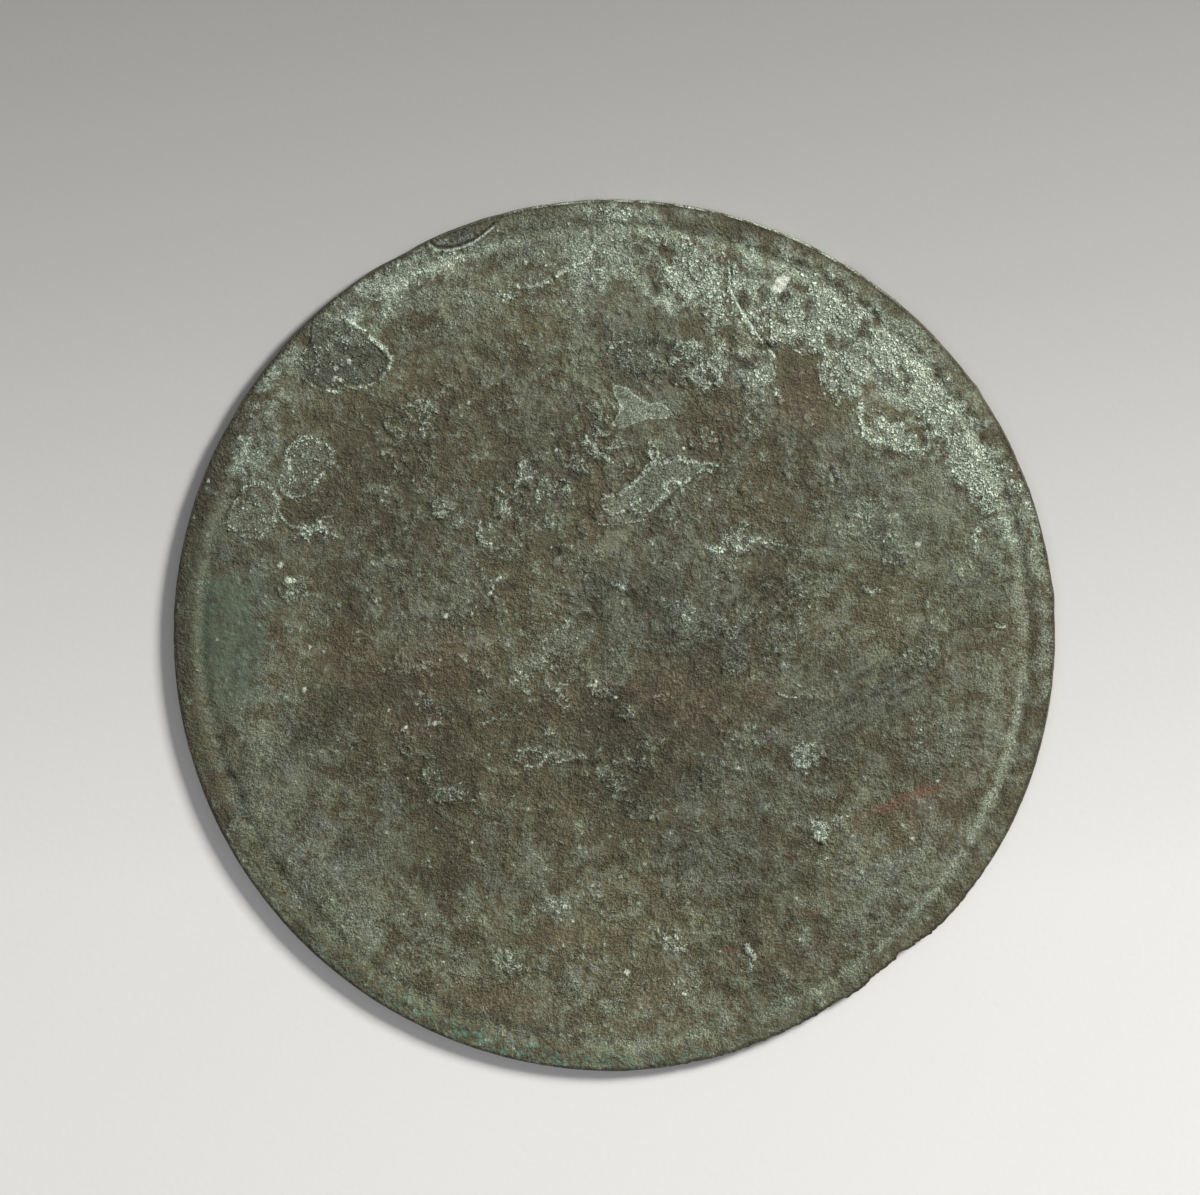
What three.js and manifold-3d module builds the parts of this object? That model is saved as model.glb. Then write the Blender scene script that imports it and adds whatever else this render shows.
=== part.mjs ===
// An ancient disc mirror of cast bronze, without a handle, lying on its flat underside.
// One casting: a slightly crowned field, a shallow groove round it, and a low rounded rim. The rim is
// broken away along one stretch of its edge, and a crack bounds a small flake on the opposite side.
// Millimetres, +Z up. The origin is the middle of the flat underside.
// Bearings run anticlockwise from +X, seen from above, in degrees.
import * as THREE from "three";
import { mergeVertices } from "three/addons/utils/BufferGeometryUtils.js";
import Module from "manifold-3d";

// Driving dimensions of the casting.
const DISC_DIAMETER = 150;
const FIELD_BORDER_HEIGHT = 2.2; // top of the field where it meets the groove
const FIELD_CROWN = 0.45; // rise of the field's middle above its border
const GROOVE_DEPTH = 0.32; // below the field's border
const GROOVE_INSET = 4.7; // from the outer edge to the groove's bottom
const GROOVE_SIDE_WIDTH = 1.8; // the slope from the field's border down to the groove's bottom
const RIM_CREST_HEIGHT = 2.3;
const RIM_CREST_INSET = 2.6; // from the outer edge to the rim's crest
const EDGE_HEIGHT = 2; // top of the edge, where the rim starts to turn down
const UPPER_ARRIS = 0.35; // radius that turns the rim down into the edge
const LOWER_ARRIS = 0.35; // radius that turns the edge in to the underside

// The worn break in the rim: how far the edge is lost at each bearing.
const BREAK_OUTLINE = [
  { bearing: 272, loss: 0.05 },
  { bearing: 281, loss: 0.35 },
  { bearing: 288, loss: 0.7 },
  { bearing: 295, loss: 1.1 },
  { bearing: 300, loss: 1.35 },
  { bearing: 301.5, loss: 1.68 },
  { bearing: 303.2, loss: 1.25 },
  { bearing: 306, loss: 1.3 },
  { bearing: 307, loss: 1.66 },
  { bearing: 309.2, loss: 1.72 },
  { bearing: 311.1, loss: 1.6 },
  { bearing: 312, loss: 2.25 },
  { bearing: 313.4, loss: 1.5 },
  { bearing: 315.5, loss: 1.22 },
  { bearing: 317, loss: 0.62 },
  { bearing: 321, loss: 0.35 },
  { bearing: 323.2, loss: 0.28 },
  { bearing: 323.8, loss: 0.06 },
];
const BREAK_CUT_MARGIN = 2; // how far the cutter stands clear of the disc all round

// The crack round the flake: how far in from the edge it runs at each bearing.
const CRACK_LINE = [
  { bearing: 116.4, inset: -0.6 },
  { bearing: 115, inset: 1.7 },
  { bearing: 113.4, inset: 2.6 },
  { bearing: 111, inset: 3.1 },
  { bearing: 109.3, inset: 2.7 },
  { bearing: 107.2, inset: 1.7 },
];
const CRACK_WIDTH = 0.34; // across its mouth
const CRACK_DEPTH = 0.3; // below the rim's surface

// How finely the round forms are faceted.
const SEGMENTS_ROUND = 180;
const STEPS_FIELD = 5;
const STEPS_SLOPE = 3;
const STEPS_ARRIS = 3;
const CRACK_STEPS = 26;

const discRadius = DISC_DIAMETER / 2;
const fieldRadius = discRadius - GROOVE_INSET - GROOVE_SIDE_WIDTH;
const grooveHeight = FIELD_BORDER_HEIGHT - GROOVE_DEPTH;

const wasm = await Module();
wasm.setup();

// A smooth slope from one height to another, level at both ends, as a share of the way runs from 0 to 1.
function easedHeight(from, to, share) {
  return from + ((to - from) * (1 - Math.cos(Math.PI * share))) / 2;
}

// Height of the upper surface at a distance inside the outer edge.
function topHeight(inset) {
  const radius = discRadius - inset;
  if (radius <= fieldRadius) {
    return FIELD_BORDER_HEIGHT + FIELD_CROWN * (1 - (radius / fieldRadius) ** 2);
  }
  if (inset >= GROOVE_INSET) {
    return easedHeight(grooveHeight, FIELD_BORDER_HEIGHT, (inset - GROOVE_INSET) / GROOVE_SIDE_WIDTH);
  }
  if (inset >= RIM_CREST_INSET) {
    const share = (inset - RIM_CREST_INSET) / (GROOVE_INSET - RIM_CREST_INSET);
    return easedHeight(RIM_CREST_HEIGHT, grooveHeight, share);
  }
  const share = Math.max(0, inset - UPPER_ARRIS) / (RIM_CREST_INSET - UPPER_ARRIS);
  return easedHeight(EDGE_HEIGHT, RIM_CREST_HEIGHT, share);
}

// Points from one inset to another along the upper surface, without the first.
function topStretch(fromInset, toInset, steps) {
  return Array.from({ length: steps }, (_, i) => {
    const inset = fromInset + ((toInset - fromInset) * (i + 1)) / steps;
    return new THREE.Vector2(discRadius - inset, topHeight(inset));
  });
}

// Points of a quarter circle round a centre, from one angle to another.
function arris(centreX, centreY, radius, fromAngle, toAngle) {
  return Array.from({ length: STEPS_ARRIS + 1 }, (_, i) => {
    const angle = fromAngle + ((toAngle - fromAngle) * i) / STEPS_ARRIS;
    return new THREE.Vector2(centreX + radius * Math.cos(angle), centreY + radius * Math.sin(angle));
  });
}

// Half of the disc's cross-section, from the middle of the underside round the edge to the middle of the top.
function crossSection() {
  const upperCentre = new THREE.Vector2(discRadius - UPPER_ARRIS, EDGE_HEIGHT - UPPER_ARRIS);
  const points = [
    new THREE.Vector2(0, 0),
    ...arris(discRadius - LOWER_ARRIS, LOWER_ARRIS, LOWER_ARRIS, -Math.PI / 2, 0),
    ...arris(upperCentre.x, upperCentre.y, UPPER_ARRIS, 0, Math.PI / 2),
    ...topStretch(UPPER_ARRIS, RIM_CREST_INSET, STEPS_SLOPE),
    ...topStretch(RIM_CREST_INSET, GROOVE_INSET, STEPS_SLOPE),
    ...topStretch(GROOVE_INSET, discRadius - fieldRadius, STEPS_SLOPE),
    ...topStretch(discRadius - fieldRadius, discRadius, STEPS_FIELD),
  ];
  points.at(-1).x = 0;
  return points;
}

// A point at a bearing and a distance inside the outer edge.
function edgePoint(bearing, inset) {
  const angle = THREE.MathUtils.degToRad(bearing);
  const radius = discRadius - inset;
  return new THREE.Vector2(radius * Math.cos(angle), radius * Math.sin(angle));
}

// A three.js geometry as a manifold solid.
function solidFrom(geometry) {
  const bare = geometry.clone();
  bare.deleteAttribute("normal");
  bare.deleteAttribute("uv");
  const merged = mergeVertices(bare, 1e-4);
  const vertProperties = new Float32Array(merged.attributes.position.array);
  const triVerts = new Uint32Array(merged.index.array);
  return new wasm.Manifold(new wasm.Mesh({ numProp: 3, vertProperties, triVerts }));
}

// A manifold solid as a three.js geometry.
function geometryFrom(solid) {
  const { vertProperties, triVerts } = solid.getMesh();
  const geometry = new THREE.BufferGeometry();
  geometry.setAttribute("position", new THREE.BufferAttribute(new Float32Array(vertProperties), 3));
  geometry.setIndex(new THREE.BufferAttribute(new Uint32Array(triVerts), 1));
  geometry.computeVertexNormals();
  return geometry;
}

// The whole casting as it was turned out, before it was broken.
function turnedDisc() {
  return new THREE.LatheGeometry(crossSection(), SEGMENTS_ROUND).rotateX(Math.PI / 2);
}

// What is missing from the rim: a plate whose inner side is the broken line and whose outer side clears the disc.
function brokenStretch() {
  const inner = BREAK_OUTLINE.map(({ bearing, loss }) => edgePoint(bearing, loss));
  const outer = BREAK_OUTLINE.map(({ bearing }) => edgePoint(bearing, -BREAK_CUT_MARGIN)).reverse();
  const depth = RIM_CREST_HEIGHT + 2 * BREAK_CUT_MARGIN;
  return new THREE.ExtrudeGeometry(new THREE.Shape([...inner, ...outer]), { depth, bevelEnabled: false })
    .translate(0, 0, -BREAK_CUT_MARGIN);
}

// The crack: a narrow wedge, point down, carried along its line on the rim. It reaches as far above the
// surface as below it, so that half its own width is cut at the surface.
function crackWedge() {
  const points = CRACK_LINE.map(({ bearing, inset }) => {
    const { x, y } = edgePoint(bearing, inset);
    return new THREE.Vector3(x, y, topHeight(Math.max(inset, UPPER_ARRIS)));
  });
  const section = new THREE.Shape([
    new THREE.Vector2(CRACK_DEPTH, 0),
    new THREE.Vector2(-CRACK_DEPTH, CRACK_WIDTH),
    new THREE.Vector2(-CRACK_DEPTH, -CRACK_WIDTH),
  ]);
  return new THREE.ExtrudeGeometry(section, {
    extrudePath: new THREE.CatmullRomCurve3(points),
    steps: CRACK_STEPS,
    bevelEnabled: false,
  });
}

// Corroded bronze, brown under green.
function patinatedBronze() {
  return new THREE.MeshStandardMaterial({ color: 0x5e5e50, roughness: 0.72, metalness: 0.25 });
}

function mirrorDisc() {
  const disc = solidFrom(turnedDisc())
    .subtract(solidFrom(brokenStretch()))
    .subtract(solidFrom(crackWedge()));
  const mesh = new THREE.Mesh(geometryFrom(disc), patinatedBronze());
  mesh.name = "mirror_disc";
  return mesh;
}

const mirror = new THREE.Group();
mirror.add(mirrorDisc());

export default mirror;
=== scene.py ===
"""An ancient cast bronze disc mirror, lying face up: its corroded face, its crusts and its patina.

Shapes are worked out in millimetres in the frame of the part and put into the meshes in metres. The face
looks along +Z, and bearings run anticlockwise from +X in degrees. Marks on the face are placed where the
photograph shows them: at_pixel turns a pixel of the photograph into a place on the face.
"""
import math
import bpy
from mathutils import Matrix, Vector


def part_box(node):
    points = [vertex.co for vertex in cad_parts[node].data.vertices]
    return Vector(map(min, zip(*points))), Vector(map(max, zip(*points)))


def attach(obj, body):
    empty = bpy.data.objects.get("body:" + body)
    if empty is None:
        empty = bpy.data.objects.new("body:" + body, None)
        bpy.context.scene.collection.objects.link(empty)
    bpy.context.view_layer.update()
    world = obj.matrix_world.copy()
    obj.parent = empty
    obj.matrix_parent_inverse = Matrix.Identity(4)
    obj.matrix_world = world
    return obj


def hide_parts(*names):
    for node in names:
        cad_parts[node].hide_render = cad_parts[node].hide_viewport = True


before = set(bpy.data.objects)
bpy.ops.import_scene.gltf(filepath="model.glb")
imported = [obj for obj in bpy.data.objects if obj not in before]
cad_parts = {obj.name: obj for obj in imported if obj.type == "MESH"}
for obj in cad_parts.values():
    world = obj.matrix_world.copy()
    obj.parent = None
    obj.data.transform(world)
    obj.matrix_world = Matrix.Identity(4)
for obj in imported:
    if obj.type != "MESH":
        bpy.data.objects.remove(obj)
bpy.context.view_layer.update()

from types import SimpleNamespace

import bpy
import numpy as np
from mathutils import Matrix, Vector

METRES = 0.001  # of one millimetre

# The camera, as the photograph's was.
PHOTO_WIDTH = 1200
PHOTO_HEIGHT = 1195
SENSOR_WIDTH = 36.0
CAMERA_LENS = 211.7
CAMERA_DISTANCE = 1200.0
CAMERA_TILT = 8.58  # degrees away from straight down
CAMERA_BEARING = 84.2  # of its lean, which is towards the top of the photograph
CAMERA_AIM = (-2.38, 7.1, 0.9)

# The casting's section, as in the part's source.
LOWEST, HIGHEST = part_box("mirror_disc")
DISC_RADIUS = (HIGHEST.x - LOWEST.x) / 2 / METRES
FIELD_BORDER_HEIGHT = 2.2
FIELD_CROWN = HIGHEST.z / METRES - FIELD_BORDER_HEIGHT
GROOVE_DEPTH = 0.32
GROOVE_INSET = 4.7
GROOVE_SIDE_WIDTH = 1.8
RIM_CREST_HEIGHT = 2.3
RIM_CREST_INSET = 2.6
EDGE_HEIGHT = 2.0
ARRIS = 0.35
FIELD_RADIUS = DISC_RADIUS - GROOVE_INSET - GROOVE_SIDE_WIDTH
GROOVE_HEIGHT = FIELD_BORDER_HEIGHT - GROOVE_DEPTH

# The worn break in the rim: bearing and how far the edge is lost.
BREAK_OUTLINE = [
    (272, 0.05), (281, 0.35), (288, 0.7), (295, 1.1), (300, 1.35), (301.5, 1.68), (303.2, 1.25),
    (306, 1.3), (307, 1.66), (309.2, 1.72), (311.1, 1.6), (312, 2.25), (313.4, 1.5), (315.5, 1.22),
    (317, 0.62), (321, 0.35), (323.2, 0.28), (331, 0.12), (334, 0),
]
BREAK_ARRIS = 0.14
# Small swellings and dents of the edge: bearing, how far out, half-width in degrees.
EDGE_BUMPS = [(6, 0.22, 1.6), (35, 0.2, 1.0), (150, -0.12, 2.0), (118.5, -0.32, 2.6), (60, -0.08, 1.4)]

LOWER_ARRIS = 0.35

# How the visual model is meshed: the face's skin in six sectors over a body that is the whole disc.
FACE_RINGS = 300
BACK_RINGS = FACE_RINGS // 2
SECTORS = 6
EDGE_PULL = 9.0  # how far in from the edge the rings are drawn out or in to follow it
SKIN_LEVEL = 0.8  # where the skin's edge ends and the body's begins
SKIN_THICKNESS = 0.4
# The body's rings under the skin: what share of the edge's points each has, and its share of the radius.
BODY_TOP_RINGS = [(1 / 8, 0.5), (1 / 4, 0.9), (1 / 2, 0.938), (1 / 2, 0.965), (1, 0.99)]
BODY_INSET = 0.3
BODY_LAP = 0.05  # how far the body reaches up behind the skin's edge
SECTOR_LAP = 0.02  # how far a sector's margin lies under the next sector
METAL_DEPTH = 0.16  # of the bare metal below the solid's face, which is level with the crusts
HIGHEST_CRUST = FIELD_BORDER_HEIGHT + FIELD_CROWN + 0.07
CRUST_SOFTNESS = 0.12  # how far below the highest crust heights begin to be drawn in

# The paper floor, in metres: where its tone starts and ends to fall off along +Y, and its tones on the way. The
# fall is painted shade, darkening the paper towards +Y as if the light fell off there.
PAPER_REACH = 1.6
PAPER_LEVEL = -0.00002
PAPER_SHADE_FALL = (-0.095, 0.112)
PAPER_SHADED_TONES = (0.80, 0.75, 0.59, 0.42, 0.29)
PAPER_FIBRE_DEPTH = 0.00002

# Lights: bearing, elevation, distance and size in metres, power and tint.
KEY_LIGHT = (36, 29, 1.5, 0.36, 36, (1, 0.985, 0.96))
OVERHEAD_FILL = (200, 72, 1.6, 1.4, 4.4, (0.96, 0.98, 1))
WORLD_STRENGTH = 0.2


# The camera's view

def camera_axes():
    """The camera's right, up and backward directions: backward leans from +Z by the tilt, towards the bearing,
    and up is +Y without its share along backward."""
    tilt, bearing = math.radians(CAMERA_TILT), math.radians(CAMERA_BEARING)
    lean = math.sin(tilt)
    backward = Vector((lean * math.cos(bearing), lean * math.sin(bearing), math.cos(tilt)))
    up = (Vector((0, 1, 0)) - backward.y * backward).normalized()
    return up.cross(backward), up, backward


CAMERA_RIGHT, CAMERA_UP, CAMERA_BACKWARD = camera_axes()
CAMERA_PLACE = Vector(CAMERA_AIM) + CAMERA_DISTANCE * CAMERA_BACKWARD
FOCAL_PIXELS = CAMERA_LENS / SENSOR_WIDTH * PHOTO_WIDTH
PIXEL = CAMERA_DISTANCE / FOCAL_PIXELS  # millimetres that one pixel of the photograph spans on the face


def at_pixel(across, down):
    """Where the face is seen at a pixel: the ray through the pixel, cut with the level of the field's border."""
    ray = CAMERA_RIGHT * (across - PHOTO_WIDTH / 2) - CAMERA_UP * (down - PHOTO_HEIGHT / 2)
    ray -= CAMERA_BACKWARD * FOCAL_PIXELS
    reach = (FIELD_BORDER_HEIGHT - CAMERA_PLACE.z) / ray.z
    spot = CAMERA_PLACE + ray * reach
    return spot.x, spot.y


# Noise

def ease(share):
    """An S-curve from 0 to 1 as the share runs from 0 to 1, level at both ends."""
    share = np.clip(share, 0, 1)
    return share * share * (3 - 2 * share)


def ridge(away, width):
    """A bell curve: 1 where away is 0, and the exponential of minus the square of away over the width."""
    return np.exp(-((away / width) ** 2))


def slope_noise(x, y, seed):
    """Smooth noise of about -1 to 1: each point of a unit lattice has a random slope, and the four planes round
    a point are blended by an ease of fifth degree."""
    angle = np.random.default_rng(seed).random((256, 256)) * 2 * math.pi
    column, row = np.floor(x).astype(int), np.floor(y).astype(int)
    right, up = x - column, y - row

    def plane(step_x, step_y):
        turn = angle[(column + step_x) & 255, (row + step_y) & 255]
        return np.cos(turn) * (right - step_x) + np.sin(turn) * (up - step_y)

    blend_x = right**3 * (right * (right * 6 - 15) + 10)
    blend_y = up**3 * (up * (up * 6 - 15) + 10)
    low = plane(0, 0) * (1 - blend_x) + plane(1, 0) * blend_x
    high = plane(0, 1) * (1 - blend_x) + plane(1, 1) * blend_x
    return 1.5 * (low * (1 - blend_y) + high * blend_y)


def clouds(x, y, size, seed, layers):
    """Layers of slope noise, each half the size and 0.55 times the strength of the one before."""
    total, strength = 0.0, 1.0
    for layer in range(layers):
        scale = 2**layer / size
        shift_x, shift_y = 17.3 * layer + 0.4, 0.6 - 9.1 * layer
        total = total + strength * slope_noise(x * scale + shift_x, y * scale + shift_y, seed + layer)
        strength *= 0.55
    return total


def contour(x, y, size, seed, layers, level):
    """Rough distance in millimetres from the lines where layered noise crosses a level, above 0 where the noise
    is higher: its difference from the level over the length of its slope, which is taken from small steps."""
    step = 0.08
    here = clouds(x, y, size, seed, layers)
    slope_x = (clouds(x + step, y, size, seed, layers) - here) / step
    slope_y = (clouds(x, y + step, size, seed, layers) - here) / step
    return (here - level) / np.maximum(np.hypot(slope_x, slope_y), 0.25 / size)


def grains(x, y, size, seed, width):
    """Round grains, one to each square of the size at a random place: the height of the nearest as a dome from
    0 to 1 whose half-width is the width times the size, and a random value from 0 to 1 of that grain."""
    draw = np.random.default_rng(seed).random((256, 256, 3))
    column, row = np.floor(x / size).astype(int), np.floor(y / size).astype(int)
    nearest = np.full(x.shape, 9.0)
    own = np.zeros(x.shape)
    for step_x in (-1, 0, 1):
        for step_y in (-1, 0, 1):
            place = draw[(column + step_x) & 255, (row + step_y) & 255]
            gap_x = column + step_x + place[..., 0] - x / size
            gap_y = row + step_y + place[..., 1] - y / size
            gap = np.hypot(gap_x, gap_y) / (0.75 + 0.5 * place[..., 2])
            own = np.where(gap < nearest, place[..., 2], own)
            nearest = np.minimum(nearest, gap)
    return np.sqrt(np.clip(1 - (nearest / width) ** 2, 0, 1)), own


# Marks on the face

def ovals(marks):
    """Rounded patches, listed under how strong they are: the middle and half-lengths of each in pixels of the
    photograph, and the turn of its long way from the photograph's right, anticlockwise, where it has one."""
    return [(*at_pixel(across, down), long * PIXEL, wide * PIXEL, math.radians(sum(turn)), much)
            for much, patches in marks.items() for across, down, long, wide, *turn in patches]


def line(wide, much, *pixels):
    """A mark drawn through pixels of the photograph: its width in pixels and how strong it is."""
    return wide * PIXEL, much, [at_pixel(*pixel) for pixel in pixels]


def ring(across, down, long, wide, turn, thick, much, start=0, stop=360):
    """A line along an oval, from one angle of it to another."""
    points = []
    for step in range(13):
        angle = math.radians(start + (stop - start) * step / 12)
        along, aside = long * math.cos(angle), wide * math.sin(angle)
        lean = math.radians(turn)
        right = along * math.cos(lean) - aside * math.sin(lean)
        up = along * math.sin(lean) + aside * math.cos(lean)
        points.append((across + right, down - up))
    return line(thick, much, *points)


def depth_in(mark, x, y):
    """How deep a point lies inside an oval, in millimetres, and below 0 outside it."""
    middle_x, middle_y, long, wide, turn, _ = mark
    right, up = x - middle_x, y - middle_y
    along = right * math.cos(turn) + up * math.sin(turn)
    aside = up * math.cos(turn) - right * math.sin(turn)
    return (1 - np.hypot(along / long, aside / wide)) * min(long, wide)


def within(x, y, middle_x, middle_y, reach):
    """Numbers of the points inside a square round a middle."""
    return np.nonzero((np.abs(x - middle_x) < reach) & (np.abs(y - middle_y) < reach))[0]


def line_beside(mark, right, up):
    """A line shifted by millimetres."""
    wide, much, points = mark
    return wide, much, [(x + right, y + up) for x, y in points]


def distance_to(points, x, y):
    """Distance from the nearest of the straight stretches between points."""
    nearest = np.full(x.shape, 1e3)
    for (start_x, start_y), (end_x, end_y) in zip(points, points[1:]):
        run_x, run_y = end_x - start_x, end_y - start_y
        share = ((x - start_x) * run_x + (y - start_y) * run_y) / (run_x**2 + run_y**2)
        share = np.clip(share, 0, 1)
        nearest = np.minimum(nearest, np.hypot(x - start_x - share * run_x, y - start_y - share * run_y))
    return nearest


def depth_in_outline(points, x, y):
    """How deep a point lies inside a closed outline, below 0 outside it. It is inside where a ray to its right
    crosses the outline an odd number of times."""
    inside = np.zeros(x.shape, bool)
    for (start_x, start_y), (end_x, end_y) in zip(points, points[1:] + points[:1]):
        if start_y == end_y:
            continue
        crossing = start_x + (y - start_y) * (end_x - start_x) / (end_y - start_y)
        inside ^= ((start_y > y) != (end_y > y)) & (x < crossing)
    away = distance_to(points + points[:1], x, y)
    return np.where(inside, away, -away)


def cover(ovals, x, y, ragged, edge):
    """The strongest of the ovals at each point: its depth, pushed in and out by the ragged length and eased
    from 0 to 1 over the edge length, times its strength."""
    total = np.zeros(x.shape)
    for mark in ovals:
        middle_x, middle_y, long, wide, _, much = mark
        near = within(x, y, middle_x, middle_y, 1.6 * max(long, wide) + edge)
        share = ease((depth_in(mark, x[near], y[near]) + ragged[near]) / edge + 0.5)
        total[near] = np.maximum(total[near], much * share)
    return total


def trace(lines, x, y, ragged, soft):
    """The strongest of the lines at each point: 1 within half its width, eased to 0 over the soft length."""
    total = np.zeros(x.shape)
    for wide, much, points in lines:
        middle = np.mean(points, axis=0)
        reach = np.max(np.abs(np.array(points) - middle)) + wide + 4 * soft + 0.5
        near = within(x, y, *middle, reach)
        away = distance_to(points, x[near], y[near]) + ragged[near]
        total[near] = np.maximum(total[near], much * ease((wide / 2 + soft - away) / (2 * soft)))
    return total


# What lies on the face, in pixels of the photograph. Grained pale crust:
CRUSTS = ovals({
    1.0: [(888, 432, 34, 16, -32), (978, 478, 42, 20, -68)],
    0.95: [(845, 372, 24, 26), (938, 408, 46, 20, -52), (966, 447, 20, 14, -60)],
    0.9: [(619, 215, 23, 8, -3), (785, 322, 46, 25, -25), (900, 366, 40, 22, -40)],
    0.85: [(845, 310, 44, 19, -32), (742, 538, 11, 13)],
    0.8: [(692, 274, 33, 26, -15)],
    0.75: [(672, 244, 22, 10, -12), (722, 298, 24, 38), (764, 378, 22, 13, -70), (973, 543, 14, 6, 65),
          (505, 292, 12, 11), (553, 493, 14, 8, -5)],
    0.7: [(714, 371, 26, 15, 80), (819, 834, 17, 8, 75), (1048, 594, 6, 5)],
    0.65: [(695, 360, 17, 20)],
    0.6: [(1013, 484, 32, 14, -65), (304, 534, 8, 12, -20), (1010, 553, 4, 7, 20)],
    0.55: [(326, 525, 9, 13)],
    0.5: [(836, 817, 10, 4, 20), (686, 609, 17, 11, 10), (1042, 528, 5, 18, 12), (728, 545, 8, 12, 10)],
    0.35: [(347, 552, 5, 9), (712, 552, 12, 22, 25), (615, 770, 10, 16)],
})
# Paler, finer grained washes, which lie closer to the metal.
WASHES = ovals({
    1.0: [(246, 460, 15, 24, -20)],
    0.8: [(640, 230, 16, 9), (1021, 572, 4, 4)],
    0.75: [(467, 298, 15, 14)],
    0.7: [(440, 262, 26, 13, 15), (600, 262, 52, 30)],
    0.65: [(802, 757, 12, 13)],
    0.62: [(385, 288, 62, 19, 34)],
    0.6: [(1031, 573, 3, 3), (774, 401, 4, 4)],
    0.55: [(905, 350, 44, 12, -42)],
    0.5: [(820, 283, 34, 9, -25), (356, 925, 16, 18)],
    0.45: [(530, 244, 80, 24, 10), (445, 330, 18, 12), (580, 314, 26, 14)],
    0.4: [(560, 300, 40, 20, 5), (487, 318, 12, 16), (452, 788, 18, 12), (620, 708, 10, 8), (748, 402, 8, 28)],
    0.35: [(395, 955, 24, 12, -25), (690, 980, 16, 14)],
    0.3: [(475, 960, 45, 22, -15)],
    0.25: [(330, 420, 34, 10, 5), (945, 745, 40, 34, 30)],
    0.22: [(280, 700, 32, 50)],
    0.2: [(880, 455, 60, 14, -20), (600, 1000, 40, 20), (700, 610, 50, 26, 10)],
    0.18: [(300, 830, 36, 60, -25), (880, 890, 40, 30, 30)],
    0.15: [(900, 545, 50, 24), (560, 660, 60, 40), (800, 590, 40, 30)],
})
# A thin pale haze over the ground.
HAZE_AREAS = ovals({
    1.2: [(618, 214, 28, 8, -3)],
    1.0: [(676, 286, 34, 24)],
    0.95: [(388, 288, 74, 24, 36)],
    0.9: [(880, 350, 90, 36, -40), (252, 456, 20, 28, -15)],
    0.85: [(950, 430, 90, 32, -55), (450, 258, 50, 14, 22), (278, 380, 44, 12, 55)],
    0.8: [(800, 292, 90, 36, -28), (1000, 510, 50, 22, -75), (600, 262, 40, 34), (1036, 520, 60, 12, -78)],
    0.75: [(620, 238, 60, 26)],
    0.65: [(700, 262, 70, 26, -12)],
    0.6: [(750, 360, 18, 60), (430, 278, 60, 16, 24), (1046, 640, 90, 10, 92)],
    0.5: [(530, 246, 80, 24, 10)],
    0.45: [(1014, 590, 50, 9, -90)],
    0.4: [(440, 960, 70, 24, -30)],
    0.35: [(330, 880, 60, 30, -50), (620, 995, 120, 24), (900, 880, 60, 30, 45)],
    0.3: [(1000, 700, 30, 80, 5), (250, 700, 24, 80, 5)],
    0.2: [(880, 500, 70, 40, -20)],
})
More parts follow.
